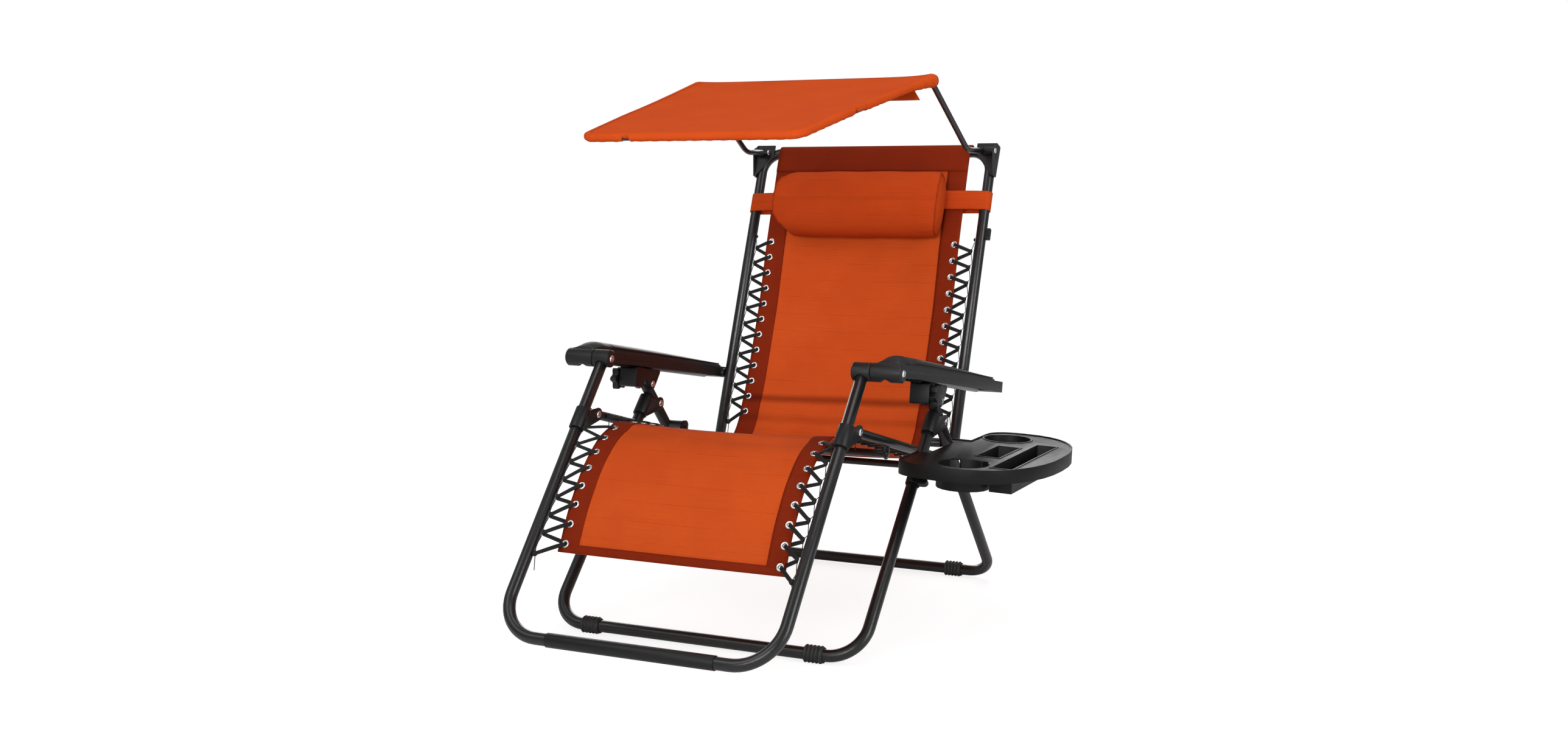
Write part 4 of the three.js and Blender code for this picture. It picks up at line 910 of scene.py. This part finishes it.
def reach_of(point):
    """How far along the sling's line a point of the side plane is, between two of its points too."""
    i = nearest_on_sling(point)
    return sling_reach[i] + (Vector(point) - sling_line[i]).dot(sling_runs[i])


def index_of(far):
    return min(range(len(sling_reach)), key=lambda k: abs(sling_reach[k] - far))


BACK_PITCH = 39.4
LEG_PITCH = 41.9
eyelet_runs = (
    (reach_of(on_back(235.5, 5)), BACK_PITCH, 12),
    (reach_of(on_rail(rail_length - 50, -4)), BACK_PITCH, 12),
    (reach_of((-56.9, 422.5)), LEG_PITCH, 8),
)
back_eyelets, seat_eyelets, leg_eyelets = (
    [first + i * pitch for i in range(count)] for first, pitch, count in eyelet_runs
)
holes = [(first / 1000, pitch / 1000, count) for first, pitch, count in eyelet_runs]
crease_shades = [(reach_of(on_back(down, 5)) / 1000, wide / 1000, depth) for down, wide, depth in CREASE_SHADES]
orange = woven_mesh(
    "orange_mesh", "orange_mesh", (0.32, 0.03, 0.005), (0.73, 0.112, 0.017), 0.0424, holes,
    crease_shades=crease_shades,
)
deep_orange = woven_mesh(
    "band_mesh", "orange_mesh", (0.1, 0.0075, 0.0016), (0.29, 0.028, 0.005), 0.0, holes,
    crease_shades=crease_shades,
)


def sling_grid(first, last, widths, lift):
    """The cloth's face between two indices, with a light sag between its edges, and its flat cut."""
    rows, cuts = [], []
    for i in range(first, last + 1):
        share = (i - first) / (last - first)
        near_top = min(1.0, max(0.0, sling_reach[i] - 90) / 200)
        near_end = min(1.0, (sling_reach[-1] - sling_reach[i]) / 60 + 0.3)
        row = []
        for a, b in zip(*widths):
            x = a + (b - a) * share
            hang = SLING_SAG * (1 - min(1.0, abs(x) / SLING_HALF) ** 2.2) * near_top * near_end
            row.append(at(x, sling_line[i] + sling_normals[i] * (lift - hang)))
            cuts.append((x / 1000, sling_reach[i] / 1000))
        rows.append(row)
    return rows, cuts


def even_xs(half):
    return [half * (2 * j / SLING_COLUMNS - 1) for j in range(SLING_COLUMNS + 1)]


hip_at = nearest_on_sling(on_rail(rail_length, -20))
knee_at = nearest_on_sling((-42.0, 428.8))
middle_at = (hip_at + knee_at) // 2
full = (even_xs(SLING_HALF), even_xs(SLING_HALF))


def sling_piece(name, first, last, widths, lift, finish, ends, nodes=()):
    """One run of the sling, shaped over the joint that it crosses and left in place on no body."""
    made = cloth(name, *sling_grid(first, last, widths, lift), CLOTH_T, finish, None)
    middle = hip_at if ends[0] == "back" else knee_at
    start = at(0, sling_line[middle - BEND_REACH])
    end = at(0, sling_line[min(middle + BEND_REACH, last_at)])
    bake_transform(made)
    if nodes:
        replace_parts(made, *nodes)
    wide = (max(widths[0]) - min(widths[0])) / 1000


sling_piece("sling_back_and_seat", 0, middle_at, full, 0.0, orange, ("back", "seat"), ["sling_back"])
sling_piece(
    "sling_seat_and_leg", middle_at, last_at, full, 0.0, orange, ("seat", "leg"),
    ["sling_seat", "sling_leg"],
)


def band_widths(sign, wide_top, wide_low):
    wides = (wide_top, wide_low)
    return [sorted(sign * (SLING_HALF + 0.6 - wide * j / 6) for j in range(7)) for wide in wides]


MIDDLE_BAND = (BAND_WIDE + LEG_BAND_WIDE) / 2
for side, sign in SIDES:
    sling_piece(
        "side_band_back_" + side, 0, middle_at, band_widths(sign, BAND_WIDE, MIDDLE_BAND),
        CLOTH_T + 0.1, deep_orange, ("back", "seat"),
    )
    sling_piece(
        "side_band_leg_" + side, middle_at, last_at, band_widths(sign, MIDDLE_BAND, LEG_BAND_WIDE),
        CLOTH_T + 0.1, deep_orange, ("seat", "leg"),
    )


def sling_hem(name, first, last, body):
    """A doubled hem across the full width at an end of the sling."""
    xs = even_xs(SLING_HALF + 0.9)
    grid = sling_grid(first, last, (xs, xs), 2 * CLOTH_T + 0.3)
    made = cloth(name, *grid, CLOTH_T, deep_orange, body)


top_reach = reach_of(on_back(0.0, TUBE_R + 2))
sling_hem("top_hem", 2, index_of(top_reach + TOP_HEM), "back")
sling_hem("leg_hem", index_of(sling_reach[-1] - LEG_HEM), last_at, "leg")


# Eyelets and lacing
def sling_frame(far):
    """The point, normal and run of the cloth a given way along its line."""
    i = index_of(far)
    run = sling_runs[i]
    return sling_line[i] + run * (far - sling_reach[i]), sling_normals[i], run


def eyelet_ring(x, far):
    """A rolled metal eyelet through both layers of the band, and through the hem at the leg end."""
    point, normal, _ = sling_frame(far)
    layers = 1.4 if far < sling_reach[-1] - LEG_HEM - 8 else 3.0
    centre = at(x, point + normal * layers)
    axis = Vector((0, normal.x, normal.y))
    outline = []
    for k in range(9):
        a = math.pi * k / 8
        outline.append((0.0012 * math.sin(a), 0.0062 + 0.0021 * math.cos(a)))
    outline += [(-0.0032, 0.0041), (-0.0038, 0.0078), (-0.0026, 0.0083)]
    n = ROUND_SIDES
    verts, faces = lathe_parts(centre, axis, outline, n)
    last = (len(outline) - 1) * n
    return verts, faces[:-2] + [(last + k, last + (k + 1) % n, (k + 1) % n, k) for k in range(n)]


def doubled(points, apart, normal):
    """Two strands side by side along a line of points, spread across it in the cloth's plane."""
    parts = []
    for sign in (-1, 1):
        path = []
        for i, point in enumerate(points):
            across = run_at(points, i).cross(normal).normalized()
            path.append(point + across * (sign * apart[i]))
        parts.append(strand(smooth_line(path, 3.0), CORD_R))
    return parts


def knot(centre, radius, tall):
    """A small lump of wound cord."""
    outline = []
    for k in range(9):
        a = math.pi * k / 8
        outline.append((-math.cos(a) * radius * tall / 1000, math.sin(a) * radius / 1000 + 0.0001))
    axis = Vector((0, 0.5, 0.86)).normalized()
    return lathe_parts(centre / 1000, axis, outline, 12)


def beside(line, far):
    """The point of a frame tube's (start, direction) line beside a place along the cloth."""
    start, direction = line
    point, _, run = sling_frame(min(far, sling_reach[-1]))
    point = point + run * max(0.0, far - sling_reach[-1])
    return Vector(along(start, direction, (point - Vector(start)).dot(Vector(direction))))


def lacing(name, side, sign, eyelets, tube_line, tube_inner, kink, turn):
    """Doubled elastic from eyelet to eyelet by way of hooks on a thin cord that is laced to the tube."""
    body = name
    rings, cords = [], []
    pitch = eyelets[1] - eyelets[0]
    side_x = sign * EYELET_X
    cloth_normal = []
    hooks = []
    for far in eyelets:
        _, normal, _ = sling_frame(far)
        cloth_normal.append(Vector((0, normal.x, normal.y)))
        hook = beside(tube_line, far + kink * pitch)
        hooks.append(spot(sign * (tube_inner - HOOK_IN), hook + normal * 1.5))
    end = spot(sign * (tube_inner - TIE_IN), beside(tube_line, eyelets[-1] + turn * pitch))
    for i, far in enumerate(eyelets):
        rings.append(eyelet_ring(side_x, far))
        point, normal, run = sling_frame(far)
        last = i == len(eyelets) - 1
        hook = end if last else hooks[i]
        hole = spot(side_x, point - normal * 4.5 + run)
        neck = spot(side_x + sign * 0.8, point + normal + run)
        mouth = spot(side_x + sign * 2.4, point + normal * 3.4 + run * 1.2)
        share = (sign * (SLING_HALF + 2) + SHIFT.x - mouth.x) / (hook.x - mouth.x)
        rim = mouth + (hook - mouth) * share + cloth_normal[i] * 2.2 * (1 - share)
        cords += doubled([hole, neck, mouth, rim, hook], [1.6, 1.7, 2.0, 2.1, 1.7], cloth_normal[i])
        if last:
            cords.append(knot(hook + Vector((sign, 0, 0)), 6.0, 1.0))
            continue
        cords.append(knot(hook, 3.3, 1.9))
        beyond, next_normal, next_run = sling_frame(eyelets[i + 1])
        behind = spot(side_x, beyond - next_normal * 6.0 - next_run * 0.6)
        share = min(0.95, (SLING_HALF + 2 - EYELET_X) / abs(hook.x - behind.x))
        under = behind + (hook - behind) * share - cloth_normal[i + 1]
        low = hook + Vector((0, run.x, run.y)) * 3.0 - cloth_normal[i] * 1.5
        cords += doubled([low, under, behind], [1.7, 2.1, 2.0], cloth_normal[i])
    tie = spot(sign * (tube_inner + 0.5), beside(tube_line, eyelets[0] + (kink - 0.75) * pitch))
    line = [tie]
    for far, hook in zip(eyelets[:-1], hooks):
        touch = beside(tube_line, far + (kink + 0.72) * pitch)
        line += [hook, spot(sign * (tube_inner - 0.6), touch)]
    line.append(end)
    tail = [end, end + Vector((sign, 0, -14)), end + Vector((sign * 2, -2, -34))]
    thin = [
        strand(line, THIN_CORD_R, 7),
        knot(tie - Vector((sign * 1.5, 0, 0)), 3.6, 1.2),
        strand(smooth_line(tail, 4.0), THIN_CORD_R, 7),
    ]
    piece(name + "_eyelets_" + side, *merged(rings), zinc, body)
    made = piece(name + "_cords_" + side, *merged(cords), cord_black, body)
    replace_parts(made, "lacing_" + name + "_" + side)
    piece(name + "_thin_cord_" + side, *merged(thin), cord_black, body)


for side, sign in SIDES:
    lacing("back", side, sign, back_eyelets, (back_top, back_dir), BACK_HALF - TUBE_R, 0.35, 0.7)
    lacing("seat", side, sign, seat_eyelets, (knee_pivot, rail_dir), LEG_HALF - RAIL_R, 0.5, 0.7)
    lacing("leg", side, sign, leg_eyelets, (LEG_BAR, leg_dir), LEG_HALF - TUBE_R, 0.8, 0.95)


# Pillow and strap
def pillow_section(count):
    """The D-shaped end outline, as (up the back, forward) shares, starting at the front."""
    points = []
    for k in range(count):
        a = 2 * math.pi * k / count
        c, s = math.cos(a), math.sin(a)
        forward = math.copysign(abs(c) ** 0.8, c)
        up = math.copysign(abs(s) ** 0.88, s)
        forward = 0.3 + 0.7 * forward if forward > 0 else 0.3 - 0.3 * abs(forward) ** 0.6
        points.append((up, forward))
    return points


def pillow_x(x, forward, up):
    """Where an x of the pillow ends up: drawn in at its ends, and slack at its left corners."""
    share = min(1.0, abs(x) / PILLOW_HALF)
    corner = max(0.0, abs(up) - 0.5) / 0.5
    slack = 26 * corner**1.4 * share**8 if x < 0 else 5 * corner**2 * share**9
    return x + PILLOW_ACROSS - math.copysign(PILLOW_DRAWN_IN * (1 - forward) * share**10 + slack, x)


def pillow_wall(x, swell, j, up, forward, grown=1.0):
    """A point of the pillow's wall, with fine wrinkles that gather at the end seams."""
    near = (abs(x) / PILLOW_HALF) ** 6
    wrinkle = 1 + 0.006 * math.sin(x * 0.05 + up * 5) * (1 - near)
    wrinkle += (0.014 * math.sin(j * 1.745) + 0.008 * math.sin(j * 0.7 + x * 0.02)) * near
    tall = up * PILLOW_TALL / 2 * swell * grown * wrinkle
    fuller = (0.86 + 0.14 * swell) * (1 + (wrinkle - 1) * 0.6)
    deep = (PILLOW_MIDDLE + (forward - PILLOW_MIDDLE) * grown) * PILLOW_DEEP * fuller
    return at(pillow_x(x, forward, up), on_back(PILLOW_DOWN - tall, PILLOW_BACK + deep))


def pillow():
    """A stuffed bolster with flat sewn ends, fuller in the middle and drawn in at the end seams."""
    section = pillow_section(72)
    around = len(section)
    stations = []
    half = PILLOW_HALF
    for k in range(49):
        s = -1 + 2 * k / 48
        x = math.copysign(half * (1 - (1 - abs(s)) ** 1.25), s)
        close = max(0.0, (abs(x) - half + 26) / 26)
        stations.append((x, 1.0 - 0.03 * (abs(x) / half) ** 3 - 0.05 * close**2))
    end_swell = stations[-1][1]
    verts, uvs = [], []
    for x, swell in stations:
        for j, (up, forward) in enumerate(section):
            verts.append(pillow_wall(x, swell, j, up, forward))
            uvs.append((x / 1000, j / around * 0.42))
    faces = skin(len(stations), around)[:-2]
    for end, sign in ((0, -1), (len(stations) - 1, 1)):
        previous = [end * around + j for j in range(around)]
        for share, bulge in ((0.94, 0.4), (0.85, 2.6), (0.62, 6.0), (0.35, 8.0), (0.12, 8.8)):
            inner = []
            for up, forward in section:
                tall = up * share * PILLOW_TALL / 2 * end_swell
                deep = PILLOW_BACK + (PILLOW_MIDDLE + (forward - PILLOW_MIDDLE) * share) * PILLOW_DEEP
                inner.append(len(verts))
                shift = forward + (0.5 - forward) * (1 - share)
                x = pillow_x(sign * (half + bulge), shift, up * share)
                verts.append(at(x, on_back(PILLOW_DOWN - tall, deep)))
                uvs.append((0.3 + tall / 1000, deep / 1000))
            for j in range(around):
                n = (j + 1) % around
                faces.append((previous[j], previous[n], inner[n], inner[j]))
            previous = inner
        faces.append(tuple(previous))
    made = piece("pillow_cover", verts, faces, pillow_orange, "pillow", uvs)
    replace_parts(made, "pillow")
    seams = []
    for _, sign in SIDES:
        loop = []
        for j, (up, forward) in enumerate(section + section[:1]):
            wall = pillow_wall(sign * half, end_swell, j, up, forward, 1.008)
            loop.append(wall * 1000 + Vector((sign * 0.2, 0, 0)))
        seams.append(strand(loop, 1.2))
    piece("pillow_seams", *merged(seams), pillow_orange, "pillow")


pillow()


def strap():
    """A flat doubled band round both back tubes, in front of the sling."""
    r = TUBE_R + 1.4
    line = []
    for sign in (1, -1):
        for k in range(13):
            a = math.pi * (k / 12 - sign / 2)
            line.append((sign * BACK_HALF + r * math.cos(a), r * math.sin(a)))
        for k in range(1, 14):
            share = k / 14
            front = STRAP_FRONT + 0.6 * math.sin(math.pi * share)
            line.append((sign * BACK_HALF * (1 - 2 * share), front if sign > 0 else -r))
    rows, cuts = [], []
    loop = line + line[:1]
    for (x, forward), reach in zip(loop, reaches(loop)):
        row = []
        for j in range(9):
            across = STRAP_WIDE * (j / 8 - 0.5)
            rise = 7 + 4 * x / BACK_HALF
            row.append(at(x, on_back(STRAP_DOWN - rise - across, forward)))
            cuts.append((reach / 1000, across / 1000))
        rows.append(row)
    made = cloth("strap_band", rows, cuts, 1.8, pillow_orange, "pillow")
    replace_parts(made, "pillow_strap")


strap()


# Canopy
canopy_pivot = on_back(CANOPY_PIVOT_DOWN, CANOPY_PIVOT_FORWARD)
elbow, canopy_rear, canopy_crest, canopy_front = (
    (canopy_pivot[0] + forward, canopy_pivot[1] + up) for forward, up in CANOPY_LINE
)
crest_share = (canopy_rear[0] - canopy_crest[0]) / (canopy_rear[0] - canopy_front[0])
crest_half = CANOPY_REAR_HALF + (CANOPY_FRONT_HALF - CANOPY_REAR_HALF) * crest_share
past_pivot = along(canopy_pivot, towards(elbow, canopy_pivot), 6)


def canopy_side(sign):
    places = [
        (CANOPY_HALF, past_pivot),
        (CANOPY_HALF, elbow),
        (CANOPY_REAR_HALF, canopy_rear),
        (crest_half, canopy_crest),
        (CANOPY_FRONT_HALF, canopy_front),
    ]
    return [spot(sign * x, p) for x, p in places]


canopy_path = bent(canopy_side(-1) + canopy_side(1)[::-1], CANOPY_BENDS + CANOPY_BENDS[::-1], 12)
rear_bar = (canopy_rear[0] - 3, canopy_rear[1] - 3)
rear_bar_ends = [spot(-CANOPY_REAR_HALF, rear_bar), spot(CANOPY_REAR_HALF, rear_bar)]
canopy_tubes = [strand(canopy_path, CANOPY_TUBE_R, 24), strand(rear_bar_ends, CANOPY_BAR_R, 24)]
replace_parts(piece("canopy_tube", *merged(canopy_tubes), steel, "canopy"), "canopy_frame")


def corner_roll(sign, reach):
    """Extra radius, way out and way down of the rolled edge, which is bulky at the rear corners."""
    if sign < 0:
        near = max(0.0, 1 - reach / 330) ** 1.5
        return 8.0 * near, 7.0 * near, 5.0 * near
    near = max(0.0, 1 - reach / 110) ** 1.2
    return 6.5 * near, 4.0 * near, 1.0 * near


def canopy_cover():
    """A sewn cover on the frame: a top sheet with rolled edges round the tube and a flap at the rear."""
    crest_line = bent(
        [Vector((0, *p)) for p in (canopy_rear, canopy_crest, canopy_front)], CANOPY_BENDS[2:3], 16
    )
    profile = even_line([Vector((p.y, p.z)) for p in crest_line], 14)
    roll = CANOPY_TUBE_R + 0.5 + CLOTH_T / 2
    whole = reaches(profile)[-1]
    rows, cuts = [], []
    xs = [j / 20 - 1 for j in range(41)]
    front_r = 36
    for i, (point, reach) in enumerate(zip(profile, reaches(profile))):
        run = run_at(profile, i)
        up = Vector((-run.y, run.x))
        if up.y < 0:
            up = -up
        share = reach / whole
        half = CANOPY_REAR_HALF + (CANOPY_FRONT_HALF - CANOPY_REAR_HALF) * share
        left = whole - reach
        if left < front_r:
            half -= front_r - math.sqrt(max(0.0, front_r**2 - (front_r - left) ** 2))
        row = []
        for s in xs:
            sag = 6 * (1 - s * s) * math.sin(math.pi * min(1, max(0, share))) ** 0.7
            swell, out, down = corner_roll(-1 if s < 0 else 1, reach)
            lifted = point + up * (roll - sag + (swell - down) * abs(s) ** 9)
            row.append(at(s * half + math.copysign(out * abs(s) ** 5, s), lifted))
            cuts.append((s * half / 1000, reach / 1000))
        rows.append(row)
    top = cloth("canopy_top", rows, cuts, CLOTH_T, canopy_orange, "canopy")
    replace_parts(top, "canopy_cloth")
    corners = (canopy_side(-1)[2], canopy_side(1)[2])
    places = range(len(canopy_path))
    start, end = (min(places, key=lambda k: (canopy_path[k] - corner).length) for corner in corners)
    hem_path = even_line(canopy_path[start : end + 1], 7)
    rolled_hem("canopy_hem", hem_path, roll, HEM_NOTCHES, True)
    bar_ends = [spot(4 - CANOPY_REAR_HALF, rear_bar), spot(CANOPY_REAR_HALF - 4, rear_bar)]
    rolled_hem("canopy_rear_hem", even_line(bar_ends, 14), roll, (), False)
    rows, cuts = [], []
    for i in range(9):
        share = i / 8
        down = FLAP_DROP * share
        row = []
        for j in range(41):
            s = j / 20 - 1
            x = (FLAP_HALF - 28 * max(0.0, s) ** 8 * (1 - share)) * s
            wave = 2.5 * math.sin(j * 0.55) * share**1.5 + 1.2 * math.sin(j * 1.7 + 1) * share
            lip = 6 * share**2 * (1 if abs(x) < 250 else 1.4)
            row.append(at(x, (rear_bar[0] + roll - 0.6 + wave * 0.6 - lip * 0.3, rear_bar[1] + 2 - down)))
            cuts.append((x / 1000, down / 1000))
        rows.append(row)
    flap = cloth("canopy_flap", rows, cuts, CLOTH_T, canopy_orange, "canopy")


def rolled_hem(name, path, radius, gaps, bulky):
    """Cloth rolled round a tube from the top, down the outside and back underneath, with notches."""
    middle = sum(path, Vector()) / len(path)
    whole = reaches(path)[-1]
    verts, uvs, faces = [], [], []
    steps = HEM_STEPS
    previous = None
    for i, (point, far) in enumerate(zip(path, reaches(path))):
        tangent = run_at(path, i)
        out = tangent.cross(Vector((0, 0, 1))).normalized()
        if out.dot(point - middle) < 0:
            out = -out
        up = out.cross(tangent)
        if up.z < 0:
            up = -up
        share = far / whole
        notch = any(a < share < b for a, b in gaps)
        turn_at = []
        swell, aside, down = 0.0, 0.0, 0.0
        if bulky:
            swell, aside, down = corner_roll(-1 if share < 0.5 else 1, min(far, whole - far))
        pucker = 1 + 0.05 * math.sin(far * 0.21) + 0.03 * math.sin(far * 0.53 + 1)
        pucker += 0.012 * swell * math.sin(far * 0.37)
        centre = point + out * aside - up * down
        for skin in (0.6, -0.6):
            for k in range(steps + 1):
                a = math.radians(112 - (128 if notch else HEM_TURN) * k / steps)
                r = (radius + swell) * (pucker if k > 3 else 1) + skin
                r += 0.9 if k < 9 else 0.0
                edge = centre + out * (math.cos(a) * r) + up * (math.sin(a) * r)
                turn_at.append(len(verts))
                verts.append(edge / 1000)
                uvs.append((far / 1000, k * 0.0022))
        if previous:
            n = steps + 1
            for k in range(steps):
                faces.append((previous[k], turn_at[k], turn_at[k + 1], previous[k + 1]))
                faces.append((previous[n + k], previous[n + k + 1], turn_at[n + k + 1], turn_at[n + k]))
            faces.append((previous[0], previous[n], turn_at[n], turn_at[0]))
            faces.append((previous[steps], turn_at[steps], turn_at[n + steps], previous[n + steps]))
        else:
            faces.append(tuple(turn_at[: steps + 1]) + tuple(reversed(turn_at[steps + 1 :])))
        previous = turn_at
    faces.append(tuple(previous[: steps + 1]) + tuple(reversed(previous[steps + 1 :])))
    made = piece(name, verts, faces, canopy_orange, "canopy", uvs)


canopy_cover()
